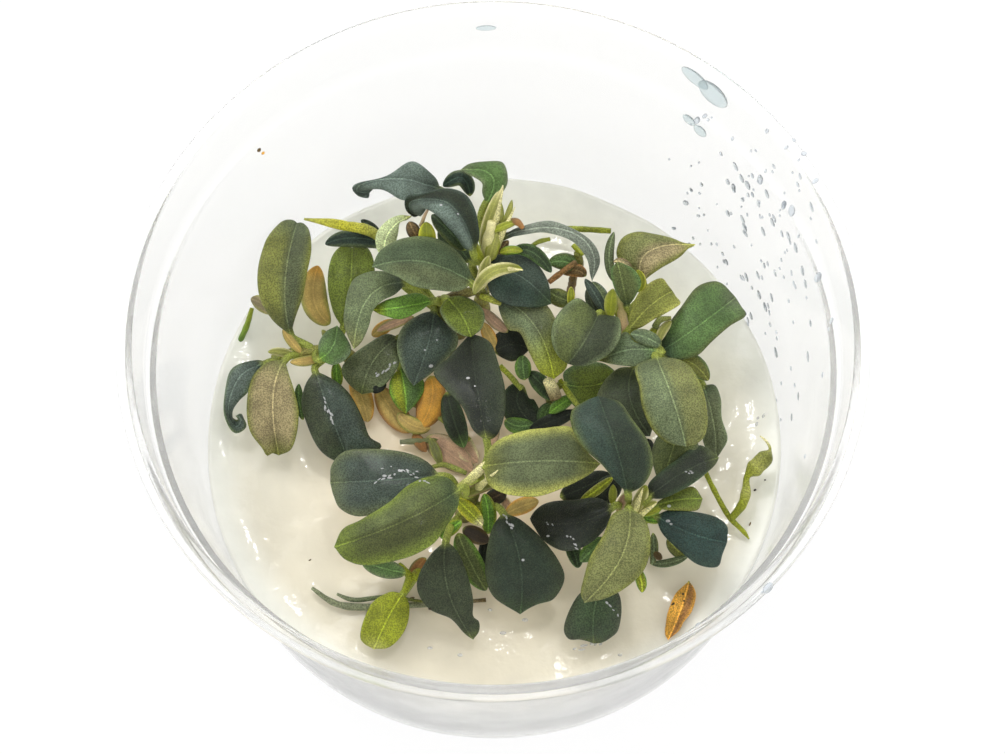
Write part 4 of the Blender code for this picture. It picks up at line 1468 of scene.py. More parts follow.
UNDERGROWTH = (
    Bunch("small_leaves_back", "leaf_grey_green", (
        Leaflet(((392, 246, 22), (355, 238, 23), (326, 244, 21)), 2.4, T.TEAL, T.SAGE),
        Leaflet(((380, 233, 23), (370, 226, 23.5), (361, 220, 24)), 1.2, T.SLATE),
        Leaflet(((470, 196, 28), (462, 178, 31), (444, 186, 29)), 2.1, T.TEAL, T.SAGE),
        Leaflet(((466, 250, 27), (450, 232, 30), (432, 215, 30)), 2.4, T.BOTTLE, T.MOSS),
        Leaflet(((418, 240, 28), (413, 230, 29), (409, 222, 29)), 1.8, T.BROWN, T.UMBER),
        Leaflet(((498, 254, 27), (503, 247, 28), (508, 241, 28)), 1.2, T.BROWN),
        Leaflet(((470, 262, 25), (455, 244, 25), (438, 232, 25)), 3.4, T.BOTTLE, T.MOSS),
    ), (
        Strand(((440, 300, 22), (465, 293, 24), (486, 290, 25)), (0.5, 0.6, 0.5), (T.BROWN, T.OLIVE)),
        Strand(((480, 296, 25), (490, 299, 25), (500, 303, 24)), (0.45, 0.45, 0.4), (T.LIME, T.STRAW)),
    )),
    Bunch("bracts_back", "leaf_lime", (
        Leaflet(((428, 248, 28), (427, 235, 30), (426, 222, 31)), 2.3, T.LIME, T.YELLOW),
        Leaflet(((484, 250, 27), (487, 225, 30), (503, 185, 33)), 1.5, T.STRAW, T.CREAM, T.CREAM),
        Leaflet(((494, 240, 28), (500, 225, 30), (501, 203, 32)), 0.9, T.STRAW, T.LIME, T.LIME),
        Leaflet(((500, 232, 29), (507, 218, 31), (512, 200, 32)), 0.9, T.STRAW, T.LIME),
        Leaflet(((500, 253, 28), (510, 250, 29), (522, 251, 28)), 1.2, T.LIME, T.FRESH),
        Leaflet(((474, 294, 27), (492, 272, 30), (522, 269, 30)), 1.8, T.STRAW, T.CREAM, T.LIME),
        Leaflet(((482, 290, 26), (484, 272, 28.5), (489, 256, 30)), 1.6, T.STRAW, T.CREAM),
        Leaflet(((488, 262, 27), (493, 246, 29), (497, 232, 30)), 1.8, T.STRAW, T.LIME),
        Leaflet(((484, 262, 27), (476, 250, 29), (474, 238, 30)), 1.3, T.LIME, T.STRAW),
        Leaflet(((492, 232, 30), (504, 226, 31), (517, 222, 31)), 1.1, T.LIME, T.STRAW, T.BROWN),
    ), (
        Strand(((421, 226, 30), (425, 215, 31.5), (430, 206, 32)), (0.3, 0.25, 0.08), (T.ROSY, T.PINK_TAN)),
        Strand(((486, 268, 25), (489, 242, 28.5), (492, 222, 31)), (1.0, 0.9, 0.6), (T.STRAW, T.CREAM)),
        Strand(((508, 222, 30.5), (517, 222, 31), (523, 228, 30.5)), (0.4, 0.5, 0.3), (T.BROWN, T.RUST)),
    ), Sheen.TENDER),
    Bunch("small_leaves_back_right", "leaf_grey_green", (
        Leaflet(((512, 252, 27), (532, 252, 28), (551, 272, 26)), 1.9, T.BOTTLE, T.LEAF),
        Leaflet(((580, 270, 22), (566, 262, 24), (549, 263, 24)), 2.4, T.LEAF, T.MOSS),
        Leaflet(((586, 276, 22), (575, 270, 23), (563, 274, 22.5)), 1.8, T.BROWN, T.RUST),
        Leaflet(((574, 302, 23), (560, 298, 23.5), (548, 291, 23)), 2.4, T.MOSS, T.OLIVE),
        Leaflet(((605, 313, 25), (596, 296, 26.5), (585, 279, 27)), 1.4, T.SLATE),
        Leaflet(((607, 312, 25), (603, 297, 26), (592, 282, 26.5)), 1.6, T.SAGE, T.STEEL),
        Leaflet(((614, 282, 26), (609, 258, 28.5), (614, 232, 31)), 1.3, T.SAGE, T.GREY_OLIVE),
        Leaflet(((632, 270, 28), (622, 262, 29.5), (614, 262, 30)), 1.1, T.ROSY, T.BROWN),
        Leaflet(((661, 346, 25), (647, 338, 26), (631, 334, 25.5)), 2.1, T.SEA, T.SAGE),
        Leaflet(((670, 362, 22), (690, 362, 23), (708, 380, 21)), 2.6, T.OLIVE, T.LEAF),
        Leaflet(((600, 318, 23), (592, 304, 24), (588, 288, 24)), 1.4, T.SHADE, T.BOTTLE),
    ), (
        Strand(((549, 282, 24), (562, 272, 24), (576, 262, 24)), (0.35, 0.4, 0.35), (T.RUST, T.BROWN)),
        Strand(((577, 272, 20), (579, 264, 22), (577, 253, 24)), (0.5, 0.7, 0.5), (T.BROWN, T.OLIVE)),
        Strand(((655, 327, 25), (660, 320, 26), (671, 318, 26)), (0.45, 0.45, 0.3), (T.MOSS, T.OLIVE)),
        Strand(((540, 230, 15), (576, 229, 16), (611, 231, 16)), (0.3, 0.42, 0.4), (T.STALK, T.LIME)),
    )),
    Bunch("bracts_right", "leaf_lime", (
        Leaflet(((570, 306, 25), (571, 297, 26), (571, 287, 27)), 1.0, T.LIME, T.YELLOW),
        Leaflet(((611, 318, 25.5), (611, 304, 27), (613, 289, 28.5)), 1.8, T.LIME, T.STRAW),
        Leaflet(((638, 292, 26), (642, 281, 27.5), (637, 270, 28.5)), 1.1, T.LIME, T.YELLOW),
        Leaflet(((660, 342, 24.5), (662, 332, 25), (671, 321, 25.5)), 1.3, T.STRAW, T.CREAM),
        Leaflet(((648, 342, 23.5), (652, 334, 24.5), (659, 326, 25)), 1.2, T.LIME, T.STRAW),
    ), (
        Strand(((618, 296, 25), (622, 315, 24.5), (626, 334, 23)), (0.5, 0.7, 0.6), (T.STRAW, T.PINK_TAN)),
        Strand(((530, 248, 27), (538, 242, 28), (550, 239, 28.5)), (0.3, 0.3, 0.3), (T.STALK, T.LIME)),
        Strand(((573, 245, 24), (577, 249, 24), (583, 255, 24)), (0.3, 0.35, 0.3), (T.LIME, T.LIME)),
    ), Sheen.TENDER),
    Bunch("small_leaves_centre", "leaf_dark", (
        Leaflet(((494, 352, 20), (510, 345, 21), (529, 348, 20)), 4.4, T.PITCH, T.INK),
        Leaflet(((447, 392, 17), (454, 420, 17), (464, 447, 14.5)), 3.0, T.INK, T.BOTTLE, T.LEAF),
        Leaflet(((372, 392, 17), (378, 388, 17.5), (386, 384, 17)), 1.3, T.PITCH),
        Leaflet(((524, 386, 16), (518, 405, 15), (540, 430, 14)), 4.6, T.INK, T.BOTTLE),
        Leaflet(((505, 420, 14.5), (518, 426, 15), (533, 424, 14.5)), 2.2, T.LEAF, T.FRESH),
        Leaflet(((577, 411, 17), (555, 420, 16.5), (530, 429, 15)), 2.0, T.PITCH, T.INK),
        Leaflet(((555, 400, 18), (542, 385, 19), (529, 372, 19)), 2.4, T.BOTTLE, T.LEAF),
        Leaflet(((303, 420, 16), (299, 400, 17), (299, 384, 18)), 1.3, T.LEAF),
        Leaflet(((560, 497, 17), (585, 487, 18), (610, 474, 18)), 3.2, T.PITCH, T.INK),
        Leaflet(((484, 538, 15), (484, 557, 14.5), (484, 577, 14)), 1.6, T.PITCH),
        Leaflet(((640, 478, 20), (642, 460, 20), (650, 440, 19)), 3.4, T.PITCH, T.INK),
        Leaflet(((592, 502, 17), (606, 491, 18), (620, 478, 18.5)), 3.4, T.PITCH, T.INK),
        Leaflet(((484, 500, 18), (495, 497, 18), (506, 491, 18)), 2.2, T.UMBER, T.INK),
    )),
    Bunch("fresh_leaves_centre", "leaf_fresh", (
        Leaflet(((338, 388, 16), (337, 376, 17), (336, 362, 18)), 1.6, T.FRESH, T.LIME),
        Leaflet(((488, 534, 18), (488, 512, 20), (484, 494, 21.5)), 2.2, T.FRESH, T.LIME),
        Leaflet(((525, 380, 19), (523, 368, 20), (523, 356, 20)), 2.2, T.LEAF, T.FRESH),
        Leaflet(((574, 397, 18), (560, 405, 18), (550, 413, 17)), 1.8, T.FRESH, T.LEAF),
        Leaflet(((552, 404, 16), (545, 415, 15), (546, 428, 14)), 2.2, T.LEAF, T.BOTTLE),
    ), (
        Strand(((500, 366, 19), (511, 377, 18), (521, 389, 16.5)), (0.35, 0.4, 0.35), (T.LIME, T.STALK)),
        Strand(((560, 380, 19), (570, 395, 19), (582, 410, 18.5)), (0.35, 0.4, 0.3), (T.LIME, T.STALK)),
        Strand(((548, 380, 21), (552, 388, 20), (556, 398, 19)), (0.7, 0.9, 0.8), (T.CREAM, T.BROWN)),
        Strand(((430, 468, 14), (445, 465, 15), (466, 473, 16)), (0.3, 0.35, 0.3), (T.OLIVE, T.STALK)),
        Strand(((458, 490, 24), (476, 474, 26), (488, 465, 27), (498, 471, 27)), (0.5, 0.6, 0.6, 0.4),
               (T.LIME, T.CREAM, T.CREAM)),
    )),
    Bunch("old_leaves", "leaf_amber", (
        Leaflet(((330, 324, 17), (314, 300, 19), (318, 266, 20)), 3.6, T.TAN, T.STRAW, T.AMBER),
        Leaflet(((272, 314, 19), (262, 304, 19.5), (251, 299, 19)), 2.0, T.ROSY, T.STRAW),
        Leaflet(((498, 352, 20), (490, 338, 21), (483, 323, 21)), 1.8, T.TAN, T.AMBER),
        Leaflet(((508, 332, 21.5), (495, 322, 22), (483, 309, 22)), 1.6, T.PINK_TAN, T.ROSY),
        Leaflet(((414, 317, 21), (398, 322, 20.5), (377, 331, 20)), 1.4, T.PINK_TAN, T.STRAW),
        Leaflet(((394, 321, 18), (383, 328, 17.5), (372, 336, 17)), 1.8, T.TAN, T.AMBER),
        Leaflet(((352, 374, 15), (362, 398, 14.5), (368, 422, 13.5)), 2.8, T.TAN, T.AMBER),
        Leaflet(((378, 386, 14.5), (392, 410, 14), (412, 432, 13.5)), 3.4, T.TAN, T.RUST),
        Leaflet(((430, 376, 17), (432, 400, 16), (420, 427, 14)), 3.8, T.AMBER, T.RUST),
        Leaflet(((398, 413, 14.5), (412, 425, 14.5), (430, 428, 13.8)), 2.2, T.TAN, T.STRAW),
        Leaflet(((426, 438, 13.2), (448, 452, 13.4), (472, 471, 13)), 4.0, T.PINK_TAN, T.ROSY, camber=0.1),
        Leaflet(((455, 428, 13), (464, 448, 13.6), (478, 462, 13.2)), 3.0, T.PINK_TAN, T.CREAM, camber=0.1),
        Leaflet(((413, 434, 13.4), (420, 443, 13.6), (426, 452, 13.2)), 1.6, T.RUST, T.BROWN),
        Leaflet(((430, 438, 14), (436, 452, 14.3), (441, 466, 14)), 1.4, T.OLIVE, T.STRAW),
        Leaflet(((462, 496, 22), (480, 488, 24), (503, 480, 25)), 1.5, T.OLIVE, T.BROWN),
        Leaflet(((463, 528, 19), (475, 535, 18.5), (489, 541, 18)), 2.2, T.UMBER, T.BROWN),
        Leaflet(((426, 558, 16), (416, 570, 15.5), (411, 584, 15)), 1.8, T.RUST, T.OLIVE),
        Leaflet(((506, 514, 17), (520, 507, 17.5), (538, 501, 17)), 2.2, T.TAN, T.AMBER),
        Leaflet(((502, 496, 17), (507, 505, 17), (513, 514, 17)), 1.4, T.PINK_TAN, T.CREAM),
        Leaflet(((654, 552, 15), (658, 556, 15), (662, 559, 15)), 1.0, T.BROWN),
        Leaflet(((470, 400, 14), (486, 420, 13.6), (492, 446, 13.2)), 3.0, T.PINK_TAN, T.ROSY, camber=0.1),
    ), (
        Strand(((400, 442, 13.2), (420, 441, 13.4), (441, 440, 13.2)), (0.35, 0.42, 0.3), (T.ROOT, T.OLIVE)),
        Strand(((252, 308, 15), (247, 325, 14), (240, 341, 12.3)), (0.3, 0.38, 0.4), (T.LIME, T.FRESH)),
        Strand(((395, 398, 15), (430, 412, 14.5), (470, 440, 14)), (0.3, 0.35, 0.3), (T.BROWN, T.STALK)),
    ), Sheen.TENDER),
    Bunch("small_leaves_front", "leaf_fresh", (
        Leaflet(((636, 568, 24), (641, 580, 23.5), (642, 592, 22.5)), 1.4, T.LIME, T.FRESH),
        Leaflet(((653, 533, 15), (654, 550, 15), (652, 565, 14.5)), 1.2, T.SAGE, T.OLIVE),
        Leaflet(((650, 563, 14.5), (668, 563, 14.5), (688, 556, 15)), 1.1, T.SAGE, T.LEAF),
        Leaflet(((668, 538, 15.5), (677, 550, 15), (687, 557, 14.5)), 1.8, T.OLIVE, T.MOSS),
        Leaflet(((456, 499, 21), (470, 512, 21), (482, 525, 20)), 2.1, T.LIME, T.YELLOW, T.CREAM),
        Leaflet(((462, 521, 20.5), (452, 528, 20), (441, 538, 19)), 1.7, T.FRESH, T.LIME),
        Leaflet(((458, 533, 19), (470, 562, 17.5), (486, 590, 15)), 3.2, T.MOSS, T.FRESH),
        Leaflet(((406, 573, 17), (386, 569, 17), (362, 562, 16.5)), 2.5, T.LEAF, T.SAGE),
        Leaflet(((566, 540, 19), (574, 552, 18.5), (578, 568, 18)), 2.0, T.BOTTLE, T.LEAF),
        Leaflet(((604, 538, 20), (592, 550, 20), (581, 561, 19)), 2.2, T.LEAF, T.FRESH),
        Leaflet(((580, 501, 21), (597, 490, 22), (613, 477, 23)), 1.3, T.LIME, T.STRAW),
        Leaflet(((642, 518, 21), (652, 520, 21), (662, 521, 20.5)), 1.0, T.FRESH, T.LIME),
    ), (
        Strand(((398, 565, 16), (409, 576, 16), (406, 588, 15.5), (403, 594, 15.5)),
               (0.45, 0.5, 0.5, 0.45), (T.LIME, T.LIME)),
        Strand(((436, 568, 14), (424, 573, 15.5), (410, 580, 15.8)), (0.5, 0.5, 0.4), (T.LIME, T.LIME)),
    )),
    Bunch("bracts_front_right", "leaf_lime", (
        Leaflet(((632, 516, 22), (640, 500, 24), (646, 485, 26)), 1.7, T.STRAW, T.CREAM, T.LIME),
        Leaflet(((630, 515, 22), (642, 508, 23), (657, 502, 24)), 1.4, T.STRAW, T.CREAM),
        Leaflet(((618, 513, 22), (622, 502, 23), (626, 493, 24.5)), 1.2, T.PINK_TAN, T.CREAM),
        Leaflet(((612, 505, 22), (613, 494, 22.5), (613, 485, 22.5)), 1.1, T.LIME, T.STRAW),
        Leaflet(((640, 514, 22), (652, 512, 22.5), (662, 506, 22)), 1.1, T.LIME, T.FRESH),
    ), (), Sheen.TENDER),
    Bunch("bracts_left", "leaf_lime", (
        Leaflet(((302, 353, 19.5), (291, 341, 21), (283, 329, 22)), 1.3, T.TAN, T.STRAW),
        Leaflet(((322, 357, 19), (306, 361, 20), (290, 362, 20.5)), 1.4, T.TAN, T.STRAW),
        Leaflet(((296, 356, 19.5), (281, 352, 20), (268, 352, 20)), 1.2, T.STRAW, T.CREAM),
        Leaflet(((336, 352, 19), (329, 340, 20.5), (322, 330, 21.5)), 1.2, T.STRAW, T.LIME),
    ), (), Sheen.TENDER),
)

FALLEN_LEAF = Bunch("fallen_leaf_fine", "leaf_amber", (
    Leaf(*LOOSE, ((689, 581, 13.0), (681, 609, 13.8), (668, 640, 12.9)),
         Look(T.AMBER, T.AMBER, left=T.RUST, right=T.AMBER, under=T.RUST),
         ((694, 588), (696, 597), (692, 612), (684, 622), (679, 631)),
         ((681, 588), (675, 595), (668, 612), (666, 624), (665, 634)),
         camber=0.25, wave=Wave(0.12, 2.5), sides=24, stalk_spans=0, blade_spans=40),
), nodes=("fallen_leaf",))

ROOT = Bunch("root_front_fine", "root", strands=(
    Strand(((312, 588, 12.9), (337, 604, 12.9), (372, 607, 12.9), (430, 604, 12.9), (486, 600, 12.9)),
           (0.25, 0.45, 0.45, 0.4, 0.25),
           (T.ROOT, T.ROOT, T.ROOT, T.BROWN)),
    Strand(((337, 594, 13.1), (355, 600, 13.1), (388, 597, 13.1), (424, 602, 13.1)),
           (0.2, 0.3, 0.3, 0.2),
           (T.ROOT, T.SAGE, T.OLIVE)),
), nodes=("root_front",))

SPEAR = Bunch("spear_fine", "leaf_lime", strands=(
    Strand(((449, 318, 15.5), (420, 284, 18.5), (378, 236, 23), (341, 225, 26), (304, 219, 27)),
           (0.4, 0.5, 0.75, 0.65, 0.15),
           (T.STALK, T.STALK, T.STRAW, T.YELLOW, T.STRAW)),
), nodes=("spear_upper_left",))

ROLLED_SHOOT = Bunch("rolled_shoot_fine", "leaf_lime", strands=(
    Strand(((701, 462, 18), (712, 486, 16.5), (728, 515, 14.5), (743, 531, 13.4), (749, 539, 12.9)),
           (0.36, 0.36, 0.36, 0.3, 0.12),
           (T.LIME, T.LIME, T.LIME)),
    Strand(((731, 519, 14.5), (742, 505, 15), (746, 492, 15.4), (747, 477, 15.8), (756, 467, 16),
            (765, 458, 16.2), (770, 449, 16), (766, 441, 15.6), (760, 436, 15.2)),
           (0.4, 0.6, 0.66, 0.42, 1.15, 0.95, 0.2, 0.16, 0.08),
           (T.LIME, T.LIME, T.STRAW, T.LIME, T.STRAW, T.OLIVE, T.STRAW, T.CREAM, T.CREAM),
           64),
), nodes=("rolled_shoot",))


@dataclass(frozen=True)
class Cup:
    """The clear cup: rounded foot, tapered wall, shoulder, collar and rolled lip."""

    height: float = 51.0
    floor: float = 1.2
    wall: float = 0.9
    base_radius: float = 38.2
    step_height: float = 42.0
    step_radius: float = 41.9
    collar_radius: float = 42.9
    collar_rise: float = 0.8
    inner_collar_rise: float = 1.2
    rim_radius: float = 43.5
    lip_radius: float = 44.5
    lip_thickness: float = 1.1
    segments: int = 144

    def wall_radius(self, height: float) -> float:
        """The outer radius of the tapered wall."""
        return mixed(self.base_radius, self.step_radius, height / self.step_height)

    def profile(self) -> list[tuple[float, float, float]]:
        """The section of the wall.

        Returns:
            Its corners, up the outside and down the inside: radius, height and rounding.
        """
        return [
            (0.0, 0.0, 0.0),
            (self.base_radius, 0.0, 1.6),
            (self.step_radius, self.step_height, 0.4),
            (self.collar_radius, self.step_height + self.collar_rise, 0.4),
            (self.rim_radius, self.height - self.lip_thickness, 0.25),
            (self.lip_radius, self.height - self.lip_thickness, 0.3),
            (self.lip_radius, self.height, 0.45),
            (self.rim_radius - self.wall, self.height, 0.5),
            (self.collar_radius - self.wall, self.step_height + self.inner_collar_rise, 0.4),
            (self.step_radius - self.wall, self.step_height, 0.4),
            (self.wall_radius(self.floor) - self.wall, self.floor, 1.2),
            (0.0, self.floor, 0.0),
        ]

    def make(self) -> bpy.types.Object:
        """The dressed cup.

        Returns:
            The piece.
        """
        body = turned_body(self.profile(), self.segments)
        bmesh.ops.recalc_face_normals(body, faces=body.faces)
        return finished("cup_clear", facing_out(body), Clear.PLASTIC.material, "cup", "cup")


@dataclass(frozen=True)
class Gel:
    """The disc of culture gel with its waves, torn folds and rise at the wall."""

    level: float = 12.0
    bottom: float = 1.5
    gap: float = 0.03
    wave_height: float = 0.3
    ripple_height: float = 0.15
    rise_radius: float = 34.0
    rise_width: float = 4.2
    rise_height: float = 0.7
    fold_scale: float = 0.16
    fold_height: float = 0.35
    grain_scale: float = 0.9
    grain_height: float = 0.08
    cloud_scale: float = 120.0
    bump_scale: float = 420.0
    bump_height: float = 0.12
    segments: int = 192
    rings: int = 72

    def top(self, x: float, y: float) -> float:
        """The height of the top, with its waves and its rise at the wall.

        Args:
            x: Millimetres to the right of the middle.
            y: Millimetres behind it.

        Returns:
            The height in millimetres.
        """
        waves = self.wave_height * math.sin(0.21 * x + 0.5) * math.cos(0.17 * y)
        ripples = self.ripple_height * math.sin(0.43 * x - 0.31 * y + 1.1)
        rise = max(math.hypot(x, y) - self.rise_radius, 0.0) / self.rise_width
        return self.level + waves + ripples + self.rise_height * rise * rise

    def relief(self, x: float, y: float) -> float:
        """The small folds and tears on top of the waves.

        Args:
            x: Millimetres to the right of the middle.
            y: Millimetres behind it.

        Returns:
            Their height in millimetres.
        """
        fold = 1.0 - abs(noise.noise(Vector((x * self.fold_scale, y * self.fold_scale, 2.0))) * 2.0)
        grain = noise.noise(Vector((x * self.grain_scale, y * self.grain_scale, 5.0)))
        return self.fold_height * max(fold - 0.75, 0.0) + grain * self.grain_height

    def make(self, cup: Cup) -> bpy.types.Object:
        """The dressed gel, which fills the cup's floor.

        Args:
            cup: The cup that it is in.

        Returns:
            The piece.
        """
        low = cup.wall_radius(self.bottom) - cup.wall - self.gap
        high = cup.wall_radius(self.level) - cup.wall - self.gap
        corners = [(0.0, self.bottom), (low, self.bottom), (high, self.level), (0.0, self.level)]
        body = turned_body([(*corner, 0.0) for corner in corners], self.segments)
        top_level = self.level - 0.01
        top_edges = [
            edge for edge in body.edges
            if all(vert.co.z > top_level for vert in edge.verts)
            and abs(edge.verts[0].co.length - edge.verts[1].co.length) > 1.0
        ]
        bmesh.ops.subdivide_edges(body, edges=top_edges, cuts=self.rings, use_grid_fill=True)
        for vert in body.verts:
            if vert.co.z > top_level:
                x, y, _ = vert.co
                inside = smooth(high, high - 3.0, math.hypot(x, y))
                vert.co.z = self.top(x, y) + self.relief(x, y) * inside
        bmesh.ops.recalc_face_normals(body, faces=body.faces)
        return finished("gel_cream", facing_out(body), self.material(), "gel", "gel")

    def material(self) -> bpy.types.Material:
        """Cloudy cream, warmer in the middle, wet on top, and whiter at the back and wall by painted light.

        Returns:
            The material.
        """
        recipe = Recipe("culture_gel")
        x, y, _ = recipe.parts(recipe.place)
        squares = recipe.arithmetic("ADD", recipe.times(x, x), recipe.times(y, y))
        radius = recipe.arithmetic("SQRT", squares)
        # Whiter towards the back and near the wall: painted light from behind and through the wall.
        far = recipe.ramp(y, -0.03, 0.03)
        edge = recipe.ramp(radius, 0.0325, 0.0383)
        middle = recipe.ramp(radius, 0.006, 0.034, 0.8, 0.0)
        cloud = recipe.ramp(recipe.noise(self.cloud_scale, 3.0), 0.3, 0.7, 0.93, 1.05)
        colour = recipe.blend(far, opaque(Tone.GEL_FRONT.light), opaque(Tone.GEL_BACKLIT.light))
        colour = recipe.blend(edge, colour, opaque(Tone.GEL_WALL_LIT.light))
        colour = recipe.blend(middle, colour, opaque(Tone.GEL_WARM.light))
        colour = recipe.scaled(colour, cloud)
        bumps = recipe.bump(recipe.noise(self.bump_scale, 3.0), self.bump_height)
        # The emission is a painted glow, stronger towards the back, for light that passes through the gel.
        recipe.surface(
            Base_Color=colour, Roughness=0.3, IOR=1.34, Coat_Weight=0.6, Coat_Roughness=0.05,
            Coat_IOR=1.33, Normal=bumps, Coat_Normal=bumps, Emission_Color=colour,
            Emission_Strength=recipe.ramp(y, -0.02, 0.02, 0.05, 0.09),
        )
        return recipe.material


class Skin:
    """The finished surfaces that drops can lie on."""

    def __init__(self, pieces: list[bpy.types.Object]) -> None:
        """Gathers the faces of the pieces, in millimetres.

        Args:
            pieces: The pieces.
        """
        points, faces = [], []
        for piece in pieces:
            start = len(points)
            points += [vert.co / MM for vert in piece.data.vertices]
            faces += [[start + number for number in face.vertices] for face in piece.data.polygons]
        self.tree = BVHTree.FromPolygons(points, faces)

    def behind(self, column: float, row: float) -> tuple[Vector, Vector] | None:
        """The first surface behind a pixel.

        Args:
            column: Pixels from the picture's left.
            row: Pixels from the picture's top.

        Returns:
            The point and its normal towards the viewer, or nothing where there is no surface.
        """
        ray = (VIEW.place(column, row, 0.0) - VIEW.eye).normalized()
        point, normal, _, _ = self.tree.ray_cast(VIEW.eye, ray)
        if point is None:
            return None
        return point, normal if normal.dot(VIEW.back) > 0.0 else -normal


@dataclass(frozen=True)
class Drop:
    """A drop of water or a crumb, which lies on the surface behind its pixel."""

    column: float
    row: float
    width: float = 0.35
    length: float = 0.5
    turn: float = 0.0
    height: float = 0.1
    tone: Tone = Tone.CREAM

    blunt_end: ClassVar[float] = 0.08
    spans: ClassVar[int] = 8
    sides: ClassVar[int] = 10

    def place(self, spot: Vector, normal: Vector, along: float, across: float, up: float) -> Tinted:
        """A point of the drop's surface.

        Args:
            spot: The point that it lies on.
            normal: The direction out of what it lies on.
            along: The share of its length.
            across: From -1 at one side to 1 at the other.
            up: From -1 at the bottom to 1 at the top.

        Returns:
            The tinted point.
        """
        angle = math.radians(self.turn)
        heading = VIEW.right * math.cos(angle) + VIEW.up * math.sin(angle)
        heading = (heading - normal * heading.dot(normal)).normalized()
        side = heading.cross(normal)
        ring = max(math.sin(math.pi * along), self.blunt_end)
        reach = -0.5 * self.length * math.cos(math.pi * along)
        out = side * (0.5 * self.width * ring * across) + normal * (self.height * ring * up)
        return spot + heading * reach + out, Vector((*self.tone.light, 0.0)), Vector((1.0, along, 0.5))

    def body(self, skin: Skin) -> bmesh.types.BMesh | None:
        """The drop's closed body, or nothing where there is no surface."""
        found = skin.behind(self.column, self.row)
        return swept_body(partial(self.place, *found), self.spans, self.sides) if found else None


@dataclass(frozen=True)
class Drops:
    """A set of drops or crumbs that is one piece."""

    name: str
    slot: str
    finish: Finish
    drops: tuple[Drop, ...]

    def make(self, skin: Skin) -> bpy.types.Object:
        """The dressed drops on their surface."""
        bodies = [body for body in (drop.body(skin) for drop in self.drops) if body]
        return finished(self.name, joined(bodies), self.finish.material, self.slot)


@dataclass(frozen=True)
class Streak:
    """A broken line of drops from one pixel to another."""

    column: float
    row: float
    end_column: float
    end_row: float
    count: int
    width: float

    wander: ClassVar[float] = 2.0
    turn_wander: ClassVar[float] = 25.0

    def drops(self) -> tuple[Drop, ...]:
        """The drops, a little off the line.

        Returns:
            The drops.
        """
        pick = random.Random(int(self.column * 7 + self.row))
        turn = math.degrees(math.atan2(self.row - self.end_row, self.end_column - self.column))
        drops = []
        for number in range(self.count):
            share = (number + 0.5) / self.count
            drops.append(Drop(
                mixed(self.column, self.end_column, share) + pick.uniform(-self.wander, self.wander),
                mixed(self.row, self.end_row, share) + pick.uniform(-self.wander, self.wander),
                self.width * pick.uniform(0.5, 1.1),
                self.width * pick.uniform(0.9, 2.2),
                turn + pick.uniform(-self.turn_wander, self.turn_wander),
            ))
        return tuple(drops)


def streaks(*rows: tuple[float, ...]) -> tuple[Drop, ...]:
    """The drops of several streaks, one after the other."""
    return tuple(drop for row in rows for drop in Streak(*row).drops())


@dataclass(frozen=True)
class Condensation:
    """The droplets on the inside of the far right wall, densest around one pixel."""

    count: int = 230
    columns: tuple[float, float] = (660, 835)
    rows: tuple[float, float] = (110, 640)
    densest: tuple[float, float] = (745, 250)
    spread: tuple[float, float] = (70.0, 130.0)
    strays: float = 0.08
    least_length: float = 0.45
    more_length: float = 1.1
    slant: float = 50.0
    slant_wander: float = 15.0
    height: float = 0.16
    seed: int = 11

    def make(self, skin: Skin) -> bpy.types.Object:
        """The dressed droplets on the wall.

        Args:
            skin: The wall's surface.

        Returns:
            The piece.
        """
        pick = random.Random(self.seed)
        drops = []
        while len(drops) < self.count:
            column, row = pick.uniform(*self.columns), pick.uniform(*self.rows)
            near = math.hypot(
                (column - self.densest[0]) / self.spread[0], (row - self.densest[1]) / self.spread[1]
            )
            if pick.random() < self.strays + math.exp(-near * near):
                length = self.least_length + self.more_length * pick.random() ** 2
                turn = self.slant + pick.uniform(-self.slant_wander, self.slant_wander)
                width = length * pick.uniform(0.5, 0.75)
                drops.append(Drop(column, row, width, length, turn, self.height))
        return Drops("condensation", "cup", Clear.MIST, tuple(drops)).make(skin)


# Drops at the glints on the leaves; their white share is painted highlight.
LEAF_WATER_GLINTS = Drops("water_and_glints_on_leaves", "cup", Clear.WATER_WITH_GLINTS, streaks(
    (322, 399, 334, 424, 10, 0.32),
    (376, 376, 396, 361, 9, 0.32),
    (374, 482, 402, 470, 9, 0.34),
    (404, 468, 428, 484, 8, 0.3),
    (380, 466, 420, 474, 5, 0.26),
    (502, 514, 514, 530, 6, 0.3),
    (605, 600, 618, 615, 5, 0.28),
    (684, 474, 694, 470, 4, 0.26),
    (566, 534, 579, 549, 6, 0.3),
    (545, 520, 556, 528, 4, 0.24),
) + (
    Drop(431, 366, 0.5, 0.6), Drop(425, 350, 0.25, 0.3), Drop(437, 340, 0.2, 0.3),
    Drop(523, 560, 0.35, 0.4), Drop(468, 378, 0.4, 0.5), Drop(475, 386, 0.25, 0.3),
    Drop(669, 506, 0.4, 0.5), Drop(668, 521, 0.4, 0.6), Drop(671, 524, 0.3, 0.4),
    Drop(548, 536, 0.3, 0.5), Drop(441, 205, 0.3, 0.4), Drop(458, 214, 0.3, 0.3),
))

# Drops at the glints on the gel; their white share is painted highlight.
GEL_WATER_GLINTS = Drops("water_and_glints_on_gel", "gel", Clear.WATER_WITH_GLINTS, streaks(
    (574, 651, 602, 642, 6, 0.5),
    (754, 426, 763, 414, 4, 0.5),
) + (
    Drop(503, 633, 0.5, 0.9), Drop(525, 620, 0.5, 0.8), Drop(490, 610, 0.4, 0.6),
    Drop(460, 655, 0.5, 0.7), Drop(430, 648, 0.4, 0.7), Drop(620, 655, 0.4, 0.6),
))

